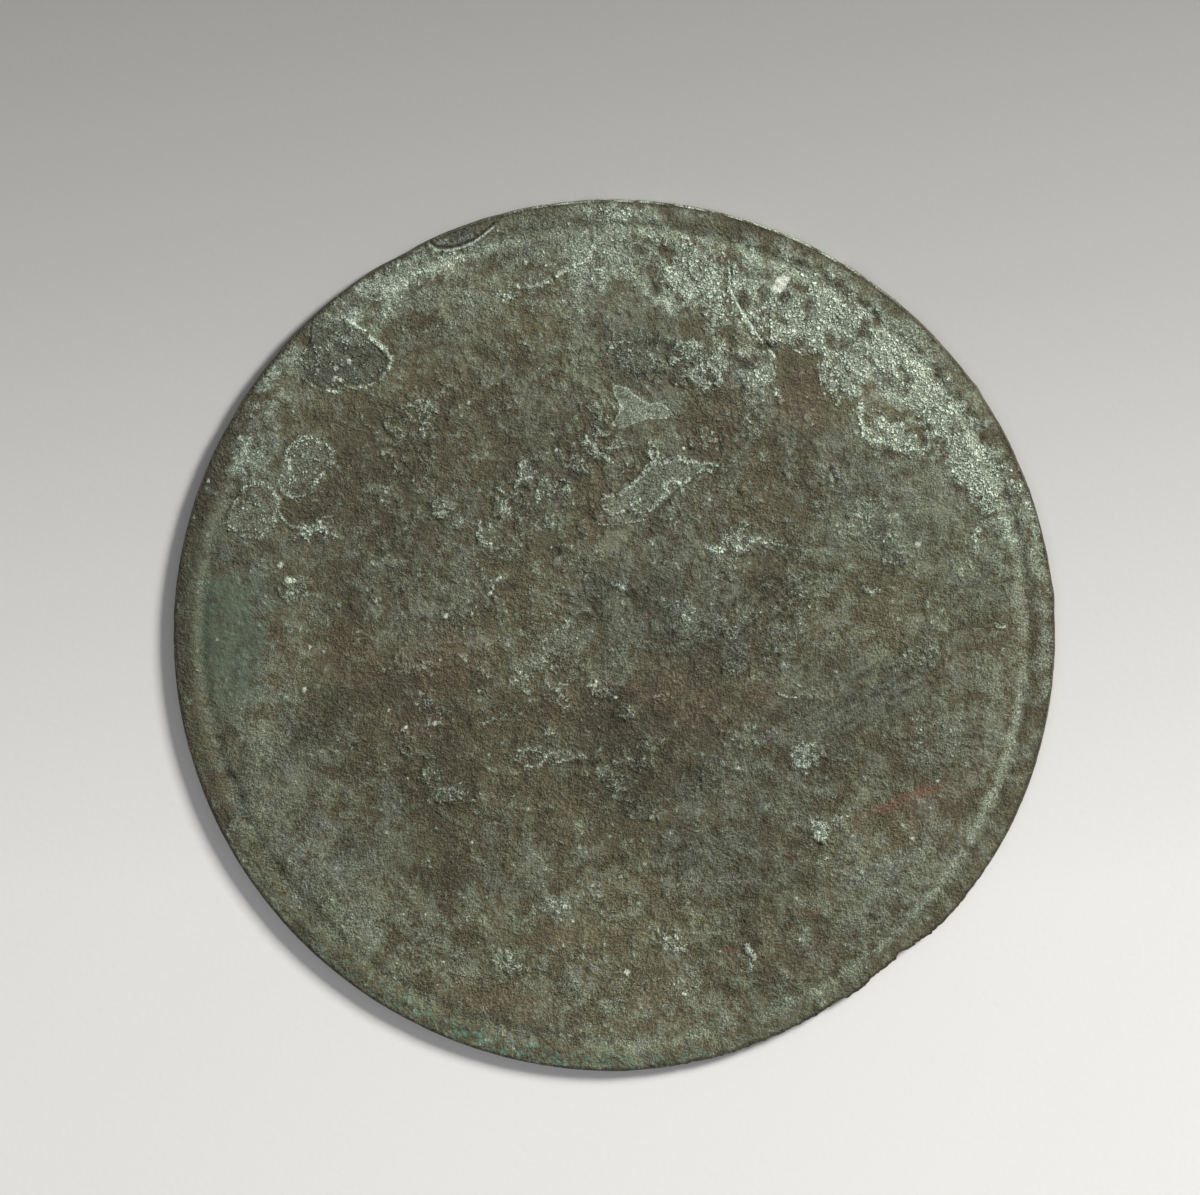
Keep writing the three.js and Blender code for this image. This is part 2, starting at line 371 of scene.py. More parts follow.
# Crumbling raised borders and veins of the crust.
VEINS = [
    line(5, 1.0, (346, 321), (356, 328), (366, 333), (375, 342), (386, 350), (392, 359), (389, 369)),
    line(3.4, 0.6, (389, 369), (381, 379), (370, 386), (359, 389), (348, 387), (337, 389)),
    line(4.5, 0.8, (336, 378), (330, 384), (326, 391), (338, 392)),
    line(2.6, 0.6, (314, 322), (313, 338), (308, 349), (298, 357), (295, 366), (304, 379), (318, 391)),
    line(5.5, 0.85, (516, 285), (529, 287), (542, 284), (554, 277), (566, 270), (577, 265), (587, 257), (593, 248)),
    line(2, 0.4, (496, 343), (510, 359), (523, 370), (544, 369), (558, 374), (573, 369), (588, 369)),
    line(4.5, 0.9, (586, 437), (592, 444), (597, 453), (606, 456), (611, 462)),
    line(3, 0.7, (601, 449), (612, 447)), line(3, 0.5, (557, 451), (564, 450)),
    line(4.5, 0.8, (516, 486), (521, 478), (520, 468), (524, 461), (531, 465)),
    line(2.4, 0.75, (560, 478), (566, 481), (574, 483)), line(2.2, 0.6, (570, 467), (580, 466), (586, 472)),
    line(4, 0.55, (496, 487), (502, 492), (504, 500), (509, 508)),
    line(5, 0.65, (478, 521), (481, 527), (478, 534), (484, 542), (490, 545)),
    line(3, 0.5, (489, 523), (491, 530)), line(4, 0.5, (432, 515), (440, 510), (446, 502)),
    line(4, 0.5, (455, 509), (460, 518), (465, 524)),
    line(4.4, 1.1, (602, 496), (617, 495), (627, 488), (634, 483), (646, 470)),
    line(5.2, 1.1, (646, 470), (652, 464), (662, 462), (677, 458), (690, 461), (702, 463)),
    line(3.6, 0.9, (702, 463), (717, 465), (711, 472), (703, 468), (697, 474)),
    line(4.8, 1.05, (688, 480), (680, 484), (672, 479), (664, 485), (668, 492), (658, 500), (652, 508)),
    line(3.4, 1.2, (652, 508), (645, 514), (636, 512), (631, 505), (640, 500)),
    line(3.6, 1.1, (622, 511), (612, 514), (605, 509), (601, 502), (602, 496)),
    line(2, 0.55, (592, 521), (600, 524), (613, 525), (628, 522), (646, 519)),
    line(2.6, 0.75, (650, 460), (649, 451), (653, 446), (658, 449), (657, 458)),
    line(2.2, 0.7, (547, 552), (553, 546), (562, 544), (569, 546), (571, 551)),
    line(2.2, 0.95, (612, 583), (619, 585), (627, 590)), line(2, 0.5, (604, 592), (612, 592)),
    line(2, 0.5, (475, 608), (470, 618), (462, 631)), line(2.4, 0.8, (500, 577), (494, 586), (489, 594)),
    line(3, 0.8, (280, 516), (291, 527), (299, 526), (304, 535), (310, 543)),
    line(2.4, 0.7, (318, 526), (322, 518), (331, 516), (333, 522)),
    line(2.4, 0.75, (323, 526), (327, 533), (324, 539)), line(2, 0.6, (381, 403), (388, 404), (396, 401)),
    line(2.4, 0.6, (409, 414), (415, 422), (425, 411), (429, 401)),
    line(2, 0.6, (362, 416), (364, 425), (373, 428)),
    line(2.2, 0.8, (748, 540), (771, 543), (783, 546), (801, 548), (807, 554)),
    line(1.6, 0.6, (807, 554), (799, 558), (792, 563), (788, 574)),
    line(2.2, 0.55, (763, 611), (754, 618), (740, 629)), line(2.2, 0.6, (728, 634), (733, 640), (737, 631)),
    ring(735, 541, 16, 13, 0, 2.0, 0.3), ring(789, 692, 12, 5, -8, 2.0, 1.0, 180, 360),
    ring(790, 688, 12, 6, -8, 1.8, 0.7, 20, 150), ring(877, 511, 26, 12, -10, 1.6, 0.35),
    ring(795, 712, 24, 15, 0, 2, 0.25, 180, 360), line(2.4, 0.75, (884, 542), (888, 532), (892, 541)),
    line(1.8, 0.6, (866, 590), (873, 593), (881, 591), (875, 585)),
    line(3, 0.65, (524, 766), (541, 765), (545, 756), (554, 755), (560, 761), (572, 759), (583, 755)),
    line(2.2, 0.7, (545, 738), (547, 732), (552, 733)),
    line(3, 0.6, (543, 911), (552, 902), (560, 903), (569, 907)), line(7, 1.2, (746, 947), (751, 953), (753, 957)),
    line(4, 1.1, (752, 957), (751, 965)), line(3, 0.5, (658, 931), (668, 942), (680, 949), (688, 944)),
    line(1.6, 0.5, (644, 984), (661, 978)), ring(843, 862, 8, 7, 0, 1.8, 0.5, -40, 120),
    ring(843, 862, 20, 17, 0, 1.8, 0.3, 200, 330), line(2.4, 1.0, (995, 624), (1000, 628), (1006, 626)),
    line(2.2, 0.5, (183, 560), (192, 574), (201, 585)), line(3.4, 0.75, (198, 585), (207, 583)),
    line(2, 0.5, (241, 420), (247, 414), (254, 421)), line(2, 0.55, (1008, 547), (1014, 558)),
    line(2, 0.35, (948, 562), (957, 558), (966, 556)),
    line(2.4, 0.6, (763, 358), (753, 368), (754, 382), (752, 396)),
    line(1.8, 0.5, (741, 414), (750, 422), (760, 433)), line(2.4, 0.8, (637, 372), (641, 380)),
    line(3, 0.85, (668, 374), (673, 384), (676, 386)), line(2.2, 0.6, (617, 344), (625, 340), (633, 344)),
    ring(626, 356, 8, 6, 0, 2.2, 0.55), line(2, 0.5, (648, 354), (655, 364), (650, 368)),
    line(2.4, 0.5, (648, 230), (664, 234), (676, 233)), line(2.4, 0.6, (545, 681), (556, 690), (566, 700)),
    line(2.4, 0.5, (499, 766), (507, 775), (519, 772)), line(2, 0.45, (577, 637), (586, 643), (594, 640)),
    line(2, 0.45, (542, 617), (556, 611), (565, 622), (563, 634)),
    line(2, 0.45, (529, 664), (541, 658), (556, 655)), line(2, 0.4, (498, 805), (509, 808)),
    line(2.2, 0.5, (556, 843), (564, 841), (569, 836)), line(2.2, 0.45, (499, 955), (512, 962), (520, 970)),
]
# Clusters of small plates and crumbs.
CRUMBLY_PATCHES = ovals({
    1.0: [(525, 472, 9, 17, -15), (553, 491, 18, 10, -8), (592, 445, 10, 22, 25), (580, 467, 14, 8, 15),
          (653, 452, 11, 12), (728, 572, 8, 8), (616, 586, 14, 7, -15), (445, 616, 9, 6), (684, 352, 20, 14, 10)],
    0.9: [(415, 405, 26, 9, -8), (444, 506, 14, 13, 20), (461, 518, 9, 14, 10), (487, 531, 11, 17),
          (614, 447, 14, 7, 15), (562, 477, 8, 6), (602, 424, 11, 20, -10), (630, 462, 6, 8), (434, 724, 7, 7),
          (540, 758, 34, 12, -5), (606, 690, 20, 10), (425, 668, 14, 8, 20), (690, 378, 16, 9), (872, 590, 12, 6),
          (732, 632, 10, 9, -30), (805, 757, 18, 16), (295, 590, 18, 14), (555, 905, 18, 8),
          (672, 940, 18, 12, -25)],
    0.8: [(400, 424, 14, 18), (428, 424, 12, 14), (394, 456, 10, 6), (396, 474, 8, 11), (504, 500, 10, 20, 5),
          (521, 499, 14, 10), (556, 517, 11, 15), (612, 408, 10, 12), (494, 588, 8, 14, 25),
          (555, 697, 22, 8, -35), (432, 708, 20, 10, -30), (550, 735, 9, 8), (623, 712, 12, 8), (640, 764, 14, 8),
          (617, 776, 14, 18), (443, 795, 22, 9), (404, 740, 10, 14, 30), (450, 625, 12, 4, 55), (520, 678, 14, 12),
          (640, 350, 34, 22), (655, 372, 10, 12), (836, 478, 8, 14, 20), (735, 665, 18, 12),
          (510, 964, 20, 12, -30)],
    0.7: [(505, 544, 16, 8, -20), (590, 757, 20, 6, 8), (640, 806, 20, 12, -30), (428, 775, 14, 10),
          (400, 668, 20, 10), (870, 520, 24, 20), (895, 555, 14, 18), (690, 628, 20, 14), (770, 668, 12, 10),
          (926, 655, 20, 18), (750, 736, 30, 12)],
    0.6: [(405, 440, 16, 9), (524, 524, 12, 18), (648, 520, 46, 9, 3), (740, 540, 20, 18), (598, 590, 30, 8),
          (545, 664, 22, 12), (735, 360, 20, 14), (755, 420, 14, 20, -20), (700, 440, 14, 12), (800, 585, 18, 14),
          (785, 640, 26, 14, 25), (752, 765, 26, 10)],
    0.5: [(690, 508, 16, 20), (755, 400, 12, 30, 10), (732, 480, 12, 22)],
    0.45: [(555, 640, 26, 22), (845, 862, 24, 18), (830, 830, 20, 16, 30)],
    0.4: [(640, 746, 30, 10), (500, 800, 30, 20), (700, 860, 26, 22), (540, 350, 50, 16, -5)],
    0.35: [(940, 735, 44, 30, 20), (590, 360, 30, 12)],
})
# Small, nearly white grains: pixel and radius in pixels.
WHITE_GRAINS = [
    (349, 361, 2.6), (336, 368, 2.2), (336, 377, 1.8), (341, 380, 2.0), (318, 370, 1.4), (360, 387, 1.7),
    (289, 460, 2.2), (290, 468, 2.2), (500, 577, 1.7), (489, 594, 1.7), (596, 684, 1.9), (616, 697, 1.8),
    (435, 723, 2.4), (280, 565, 2.8), (288, 580, 3.0), (294, 580, 2.2), (292, 593, 1.8), (446, 616, 2.2),
    (918, 544, 2.6), (611, 347, 2.0), (748, 947, 2.6), (752, 956, 2.2), (389, 710, 1.4),
    (406, 727, 1.8), (408, 778, 1.4), (526, 263, 1.8), (440, 660, 1.6), (938, 781, 1.8), (573, 921, 1.6),
    (627, 972, 2.6), (304, 690, 2.4), (310, 647, 1.8), (240, 437, 1.6), (208, 481, 1.6), (217, 640, 1.6),
    (1000, 575, 1.4), (684, 448, 1.8), (556, 450, 1.8), (472, 842, 1.8), (654, 463, 2.0),
]
WHITE_CHIP = [(771, 291), (776, 280), (783, 274), (790, 278), (787, 285), (781, 292), (775, 294)]
# Patches of the crust: a dark one, two ringed ones and the long one in the middle.
DARK_ISLAND = [
    (314, 321), (329, 316), (343, 317), (351, 324), (364, 332), (374, 342), (385, 350), (391, 360), (388, 369),
    (379, 379), (367, 385), (348, 385), (333, 388), (321, 387), (306, 377), (297, 366), (300, 356), (310, 348),
]
GRAINED_ISLANDS = [
    [(287, 445), (302, 434), (318, 438), (333, 447), (336, 459), (329, 468), (322, 478), (312, 491), (302, 500),
     (291, 499), (280, 491), (276, 480), (281, 465)],
    [(243, 486), (256, 481), (268, 482), (276, 489), (280, 499), (279, 512), (272, 526), (262, 539), (251, 541),
     (237, 533), (226, 526), (225, 514), (232, 503), (239, 493)],
]
MIDDLE_ISLAND = [
    (603, 497), (617, 496), (631, 485), (645, 471), (660, 463), (677, 459), (698, 463), (703, 468), (690, 480),
    (675, 489), (661, 504), (645, 513), (632, 508), (621, 512), (606, 509),
]
GREEN_TONGUE = [
    (611, 385), (627, 387), (637, 397), (650, 404), (661, 402), (671, 412), (667, 418), (650, 418), (634, 423),
    (619, 428), (613, 424), (622, 408),
]
# The scratch: its line is painted pale as the highlight on its lit wall, and a line beside it (scratch_shade) is sunk
# and painted dark as its shaded wall.
SCRATCH = line(2.2, 1.0, (729, 266), (730, 289), (738, 305), (750, 324), (763, 342), (775, 357))
FLAKE_CRACK = line(2.6, 1.0, (426, 238), (430, 242), (437, 247), (449, 247.5), (460, 245), (472, 240), (481, 234),
                   (487, 229), (493, 224))
FLAKE_SIDE_CRACK = line(1.6, 0.8, (443, 248), (441, 255))
NOTCH = line(1.4, 0.9, (644, 985), (645, 991))
# Dark veins, and one painted shadow: the line along the lower left wall of the middle island.
DARK_VEINS_AND_SHADOW = [
    line(2.4, 0.7, (771, 739), (777, 746), (784, 756), (789, 770)),
    line(2.6, 0.5, (822, 735), (827, 752), (823, 770)),
    line(2, 0.7, (525, 505), (527, 520), (526, 540), (528, 553)), line(2, 0.5, (716, 690), (722, 668), (732, 640)),
    line(2, 0.5, (921, 600), (926, 620), (922, 637)), line(2.4, 0.5, (650, 486), (634, 500)),
    # A painted shadow along the middle island's lower left wall, then a dark vein:
    line(2.6, 0.8, (600, 497), (601, 506), (604, 514)), line(2, 0.6, (828, 460), (834, 478), (838, 488)),
    line(2, 0.5, (557, 314), (562, 322)), line(3, 0.8, (652, 284), (655, 290), (657, 295)),
    line(2, 0.5, (700, 838), (712, 850), (720, 862)),
]
PITS = ovals({
    1.0: [(574, 475, 11, 6, 5), (558, 552, 11, 5, 5), (599, 583, 9, 4), (548, 737, 4, 3), (655, 290, 5, 5),
          (640, 251, 7, 4), (663, 251, 4, 5), (507, 586, 9, 6), (640, 377, 4, 4), (672, 380, 4, 6),
          (443, 600, 8, 7), (621, 691, 9, 5), (746, 366, 6, 5), (800, 264, 7, 3, -10), (768, 346, 12, 4),
          (575, 763, 7, 4), (754, 944, 6, 4), (820, 845, 5, 3)],
    0.6: [(741, 298, 5, 7), (784, 298, 7, 4, 20)],
})
# Broader tints. Browner ground:
BROWN_AREAS = ovals({
    1.0: [(498, 998, 52, 14, -8), (735, 340, 26, 8, 5)],
    0.95: [(646, 984, 32, 20)],
    0.9: [(590, 480, 18, 60), (590, 935, 36, 16, -8), (302, 506, 16, 11), (347, 630, 13, 13), (440, 275, 14, 12),
          (770, 918, 16, 9, 15), (725, 258, 10, 7)],
    0.75: [(350, 690, 46, 66, 15), (804, 394, 30, 40, 10), (716, 420, 26, 44, -10), (685, 706, 70, 40)],
    0.7: [(580, 755, 140, 70), (445, 850, 26, 42, 10), (455, 680, 30, 18), (990, 634, 26, 22)],
    0.65: [(440, 760, 50, 60)],
    0.6: [(430, 425, 100, 60, -10), (428, 730, 44, 26, -15), (530, 320, 44, 30), (760, 580, 24, 20),
          (560, 275, 16, 10, 30), (476, 1000, 30, 14, -15)],
    0.5: [(785, 480, 46, 46)],
    0.4: [(870, 590, 60, 40, -10), (880, 840, 70, 26, 20), (360, 500, 46, 50)],
    0.35: [(590, 850, 44, 36), (950, 820, 40, 40)],
    0.3: [(500, 640, 60, 50), (640, 860, 60, 40), (530, 560, 60, 30)],
    0.2: [(1000, 850, 30, 40)],
})
# Greyer and greener ground:
GREY_AREAS = ovals({
    0.8: [(540, 235, 120, 28, 5), (395, 300, 80, 30, 35), (250, 470, 26, 26), (840, 560, 12, 50),
          (240, 600, 26, 90, 5)],
    0.7: [(480, 300, 50, 40, 10), (880, 500, 90, 60, -20), (280, 800, 50, 120, -20), (700, 860, 40, 40),
          (390, 815, 14, 40)],
    0.6: [(830, 700, 90, 50, 20), (350, 900, 60, 60), (860, 880, 60, 50, 30)],
    0.5: [(960, 830, 40, 60, 30), (330, 690, 34, 30), (740, 780, 60, 40), (650, 590, 90, 50),
          (960, 320, 60, 40, -45)],
    0.4: [(970, 560, 60, 110), (330, 300, 40, 40), (620, 330, 50, 50)],
    0.35: [(420, 600, 60, 60), (560, 880, 70, 40)],
    0.3: [(520, 420, 60, 50), (600, 790, 80, 30)],
})
# Darker and lighter ground, partly the patina's own tone and partly painted shade and painted light:
DARK_AREAS = ovals({
    1.4: [(456, 235, 34, 9, 22)],
    1.0: [(322, 745, 34, 30)],
    0.95: [(630, 610, 60, 50), (640, 750, 80, 66)],
    0.9: [(650, 350, 40, 30), (206, 550, 16, 100, 4)],
    0.8: [(715, 650, 50, 30), (800, 440, 44, 22), (880, 695, 60, 30, 20)],
    0.7: [(715, 440, 36, 26), (670, 840, 26, 24), (760, 590, 56, 26, 15)],
    0.6: [(390, 500, 100, 70), (540, 450, 90, 40), (420, 750, 40, 60), (355, 520, 44, 60), (400, 440, 50, 40),
          (370, 545, 30, 34), (1040, 650, 14, 110), (560, 232, 60, 14, 8), (700, 218, 50, 12, -5)],
    0.55: [(230, 455, 16, 60, 20)],
    0.5: [(670, 520, 30, 60), (720, 390, 24, 24), (970, 740, 26, 26), (490, 440, 60, 40), (890, 560, 18, 18)],
    0.45: [(340, 700, 36, 60), (775, 230, 50, 16, -15)],
    0.4: [(490, 455, 50, 30), (820, 470, 50, 36), (820, 740, 30, 30), (680, 720, 80, 40)],
    0.35: [(450, 430, 90, 60), (655, 655, 70, 40, 10), (590, 500, 18, 60), (770, 860, 60, 40)],
    0.3: [(560, 500, 60, 20), (800, 395, 34, 44), (440, 770, 60, 50), (820, 690, 60, 20, 25),
          (480, 1016, 60, 12, -12)],
    0.25: [(490, 345, 60, 40), (430, 860, 40, 60), (350, 600, 30, 70)],
    0.2: [(960, 255, 60, 30, -40)],
})
LIGHT_AREAS = ovals({
    1.7: [(650, 1010, 80, 44)],
    1.5: [(975, 545, 28, 28), (620, 925, 100, 60)],
    1.2: [(870, 842, 70, 36, 10), (560, 1045, 120, 14)],
    1.0: [(480, 300, 46, 40), (775, 945, 26, 20), (375, 920, 60, 46, -30)],
    0.9: [(885, 610, 70, 44), (880, 410, 70, 40, -35), (560, 970, 190, 70)],
    0.8: [(770, 335, 30, 26), (270, 735, 26, 30), (880, 860, 90, 50, 30), (290, 690, 40, 46), (980, 510, 40, 50)],
    0.7: [(490, 945, 50, 26, -10), (840, 945, 50, 30, 30), (1024, 600, 34, 120)],
    0.6: [(520, 790, 26, 24), (325, 690, 24, 22), (575, 845, 24, 24), (450, 945, 50, 30, -20),
          (290, 820, 50, 110, -20), (530, 890, 60, 50)],
    0.5: [(520, 595, 26, 40), (570, 800, 30, 40), (900, 560, 70, 40)],
    0.45: [(560, 640, 90, 50)],
    0.4: [(690, 745, 40, 24), (525, 600, 24, 40)],
    0.35: [(920, 400, 80, 60, -45)],
    0.3: [(600, 270, 120, 40), (400, 310, 70, 30, 35), (985, 720, 40, 90)],
    0.25: [(860, 480, 70, 40)],
    0.2: [(610, 860, 70, 40)],
})
TEAL_AREAS = ovals({
    1.0: [(228, 640, 34, 74)],
    0.6: [(225, 690, 20, 40, 10), (262, 595, 20, 26)],
    0.3: [(258, 455, 14, 20, 10)],
})
COOL_AREAS = ovals({
    0.4: [(200, 620, 14, 110)],
    0.25: [(970, 560, 50, 70), (340, 690, 30, 34)],
    0.2: [(880, 560, 70, 60)],
})
RUST_LINES = [
    line(8, 1.0, (880, 809), (893, 805), (905, 799), (922, 792), (938, 788)), line(5, 0.5, (858, 818), (880, 809)),
    line(4, 0.55, (797, 913), (818, 912)), line(4, 0.55, (724, 951), (738, 949)),
    line(4, 0.4, (741, 886), (750, 880)), line(5, 0.4, (790, 860), (796, 856)),
    line(4, 0.4, (536, 764), (544, 767)), line(4, 0.4, (430, 283), (452, 268)),
    line(5, 0.35, (720, 258), (730, 256)), line(6, 0.3, (640, 620), (652, 612)),
    line(8, 0.3, (752, 700), (764, 696)),
]
REDDISH_AREAS = ovals({
    0.4: [(764, 692, 12, 10)],
    0.3: [(670, 700, 50, 18, -5), (440, 660, 40, 34), (420, 725, 26, 16), (560, 712, 12, 14), (430, 545, 8, 8)],
    0.22: [(350, 660, 30, 30), (940, 800, 40, 22, 15)],
    0.2: [(500, 1000, 46, 14, -8)],
    0.16: [(800, 400, 22, 26)],
    0.14: [(720, 420, 20, 26), (600, 520, 12, 40)],
})
SMOOTH_AREAS = TEAL_AREAS + ovals({
    0.8: [(818, 322, 16, 15)],
    0.7: [(874, 390, 18, 10, -20), (748, 402, 8, 28)],
    0.6: [(802, 394, 28, 36, 10), (590, 935, 30, 12, -8), (498, 998, 46, 12, -8), (843, 560, 10, 44)],
    0.5: [(885, 490, 60, 30, -10), (700, 218, 50, 10, -5)],
    0.4: [(640, 290, 60, 20), (700, 720, 60, 30)],
    0.2: [(560, 260, 60, 16, 12)],
})
BUMPS = ovals({
    0.12: [(1001, 618, 8, 11)],
    0.05: [(789, 690, 10, 6, -8)],
    0.04: [(795, 710, 22, 13)],
})
LACY_AREAS = ovals({
    1.0: [(600, 520, 250, 190)],
    0.8: [(640, 350, 130, 70), (410, 420, 60, 40)],
    0.7: [(560, 760, 200, 100), (640, 930, 160, 60)],
    0.6: [(800, 500, 90, 60), (840, 830, 90, 60, 20)],
})
SANDY_AREAS = ovals({
    1.0: [(290, 830, 90, 170, -25)],
    0.9: [(600, 930, 280, 100)],
    0.7: [(780, 840, 160, 100, 20), (450, 280, 120, 40, 25)],
    0.6: [(900, 560, 120, 120), (450, 740, 120, 100)],
    0.5: [(600, 700, 200, 120), (400, 620, 90, 90)],
})
STRIATED_AREAS = ovals({
    1.0: [(764, 606, 60, 32, 30), (872, 694, 84, 36, 28)],
    0.7: [(780, 655, 70, 26, 28)],
})
STRIATION_TURN = math.radians(33)
STRIATION_WIDTH = 0.62
STRIATION_LENGTH = 6.0

# Noise over the face: size in millimetres, seed and layers.
NOISES = {
    "drift": (9.0, 41, 4), "blotch": (3.2, 43, 4), "crumb": (1.3, 47, 3), "tiny": (0.62, 51, 2),
    "gaps": (2.4, 139, 3), "broken": (2.9, 121, 3), "lacy_drift": (4.5, 133, 4), "smooth_drift": (7.0, 131, 4),
    "sandy_drift": (5.0, 137, 3), "verdigris": (1.1, 97, 3),
}
# How ragged each kind of mark is: millimetres by which blotches, crumbs and tiny crumbs push its border in and
# out, and the length over which it eases.
AREAS = {
    "matrix": (CRUSTS, 0.8, 0.3, 0, 4.2), "haze": (HAZE_AREAS, 2.0, 0.4, 0, 5.0), "wash": (WASHES, 1.3, 0.4, 0, 3.0),
    "clusters": (CRUMBLY_PATCHES, 0.3, 0.5, 0, 1.4), "lacy": (LACY_AREAS, 3.0, 0, 0, 8.0),
    "smooth": (SMOOTH_AREAS, 1.0, 0, 0, 2.5), "sandy": (SANDY_AREAS, 3.0, 0, 0, 8.0),
    "striated": (STRIATED_AREAS, 1.5, 0, 0, 4.0), "pit": (PITS, 0, 0.45, 0.2, 0.7), "bumps": (BUMPS, 0, 0.1, 0, 1.2),
    "grey": (GREY_AREAS, 2.5, 0, 0, 6.0), "brown": (BROWN_AREAS, 2.2, 0, 0, 4.5),
    "light": (LIGHT_AREAS, 2.5, 0, 0, 6.0), "dark": (DARK_AREAS, 2.2, 0, 0, 5.0),
    "teal": (TEAL_AREAS + COOL_AREAS, 1.4, 0, 0, 4.0), "reddish": (REDDISH_AREAS, 1.8, 0, 0, 4.0),
}
LINES = {
    "dark_vein": (DARK_VEINS_AND_SHADOW, 0, 0.18, 0, 0.16), "rust": (RUST_LINES, 0.3, 0.5, 0, 0.7),
    # The crack is painted dark, partly as painted shade on its unlit wall; the raised lip beside it is painted pale
    # as the highlight on its lit wall.
    "crack": ([FLAKE_CRACK, FLAKE_SIDE_CRACK, NOTCH], 0, 0.02, 0, 0.2),
    "crack_lip": ([line_beside(FLAKE_CRACK, 0.0, -0.5)], 0, 0.08, 0, 0.15),
    # The scratch is painted pale as the highlight on its lit wall, and darker beside it as painted shade.
    "scratch": ([SCRATCH], 0, 0.04, 0, 0.14), "scratch_shade": ([line_beside(SCRATCH, 0.36, 0.1)], 0, 0.06, 0, 0.16),
}
# How green rather than brown the ground is, and what each mask and noise adds to it. The rim's band turns
# browner as painted shade on the side away from the light and at its left.
GREEN_BASE = 0.25
GREEN = {
    "grey": 0.5, "brown": -0.62, "drift": 0.3, "blotch": 0.37, "crumb": 0.26, "wash": 0.3, "veil": 0.5,
    "plate": 0.22, "low_plate": 0.12, "lace": 0.3, "dots": 0.5, "clusters": 0.15, "lower_band": -0.12,
    "left_band": -0.2, "arris_line": -0.5, "raised": 0.4, "crust": 0.4, "dark_island": 0.5,
}
# How light the ground is, what is added to that, and the shades that it is then darkened by. The light and
# dark patches hold painted light and shade as well as the patina's tone, the groove a painted highlight, and the
# shades inside the groove, on the rim's left and beside the scratch are painted shade.
GROUND_TONE = 0.97
TONE_BASE = 0.96
TONE = {
    "light": 0.3, "dark": -0.3, "drift": 0.15, "blotch": 0.19, "crumb": 0.14, "sand": 0.12, "stripes": 0.42,
    "groove": 0.36, "under_groove": -0.2, "low_plate": 0.08, "crest": 0.05,
}
TONE_SHADES = {"left_band": 0.34, "arris_line": 0.45, "dark_island": 0.25, "scratch_shade": 0.35, "holes": 0.12}
# How pale each mask is, alone or between and on its grains, and how dark the hollows are. The pale of the
# groove, of the crack's lip and of the scratch is partly a painted highlight, and the hollows also hold painted
# shade: round the middle island, along one dark vein and on the crack's unlit wall.
PALE = {
    "crust": 0.61, "haze": 0.64, "groove": 0.48, "grained": 0.3, "tongue_lip": 0.8, "tongue": 0.42,
    "crack_lip": 1.0, "scratch": 0.95, "dots": 0.55, "chip": 1.0,
}
PALE_ON_GRAINS = {"vein": (0.75, 0.3), "wash": (0.35, 0.4), "border": (0.45, 0.4)}
PALE_ON_FINE_GRAINS = {"middle": (0.28, 0.08), "lace": (0.16, 0.24)}
HOLLOW_AND_SHADE = {"crack": 1.0, "pit": 0.55, "dark_vein": 0.6, "holes": 0.12, "middle_shade": 0.85}
# Where the material's own grains stand.
STANDING_GRAINS = {"matrix": 0.55, "vein": 0.95, "grained": 0.35, "border": 0.85, "dark_island": 0.45, "middle": 0.05}
# Millimetres that each mask and noise rises, on all ground, between and on its grains, and on rough ground.
RELIEF = {
    "drift": 0.03, "lace": 0.1, "dots": 0.12, "holes": -0.08, "tongue": 0.12, "chip": 0.12, "bead": 1.0,
    "stripes": 0.08, "bumps": 1.0, "crack_lip": 0.1, "pit": -0.14, "dark_vein": -0.1, "crack": -0.3,
    "scratch_shade": -0.12,
}
RELIEF_ON_GRAINS = {
    "crust": (0.06, 0.13), "vein": (0.16, 0.1), "wash": (0, 0.1), "dark_island": (0.1, 0.12), "grained": (0.06, 0.05),
    "middle": (0.2, 0.02),
}
ROUGH_RELIEF = {"blotch": 0.08, "crumb": 0.085, "tiny": 0.06}


# The casting

def slope(start, stop, share):
    """From one height to another, level at both ends: half of one less the cosine of the share of half a turn."""
    return start + (stop - start) * (1 - np.cos(math.pi * np.clip(share, 0, 1))) / 2


def casting_height(radius):
    """Height of the face before it corroded, at a distance from the middle: a parabola over the field, then
    eased slopes down into the groove, up to the rim's crest and down towards the edge."""
    inset = DISC_RADIUS - radius
    field = FIELD_BORDER_HEIGHT + FIELD_CROWN * (1 - (radius / FIELD_RADIUS) ** 2)
    side = slope(GROOVE_HEIGHT, FIELD_BORDER_HEIGHT, (inset - GROOVE_INSET) / GROOVE_SIDE_WIDTH)
    rim = slope(RIM_CREST_HEIGHT, GROOVE_HEIGHT, (inset - RIM_CREST_INSET) / (GROOVE_INSET - RIM_CREST_INSET))
    fall = slope(EDGE_HEIGHT, RIM_CREST_HEIGHT, (inset - ARRIS) / (RIM_CREST_INSET - ARRIS))
    height = np.where(radius <= FIELD_RADIUS, field, side)
    height = np.where(inset < GROOVE_INSET, rim, height)
    return np.where(inset < RIM_CREST_INSET, fall, height)


def edge_loss(bearing):
    """How much of the edge the break has taken at a bearing, read between its named points."""
    bearings, losses = zip(*BREAK_OUTLINE)
    loss = np.interp(bearing % 360, bearings, losses, left=0, right=0)
    along = np.radians(bearing) * DISC_RADIUS
    crumble = clouds(along, 0 * along, 0.9, 71, 3)
    return loss + 0.16 * ease(loss / 0.5) * crumble


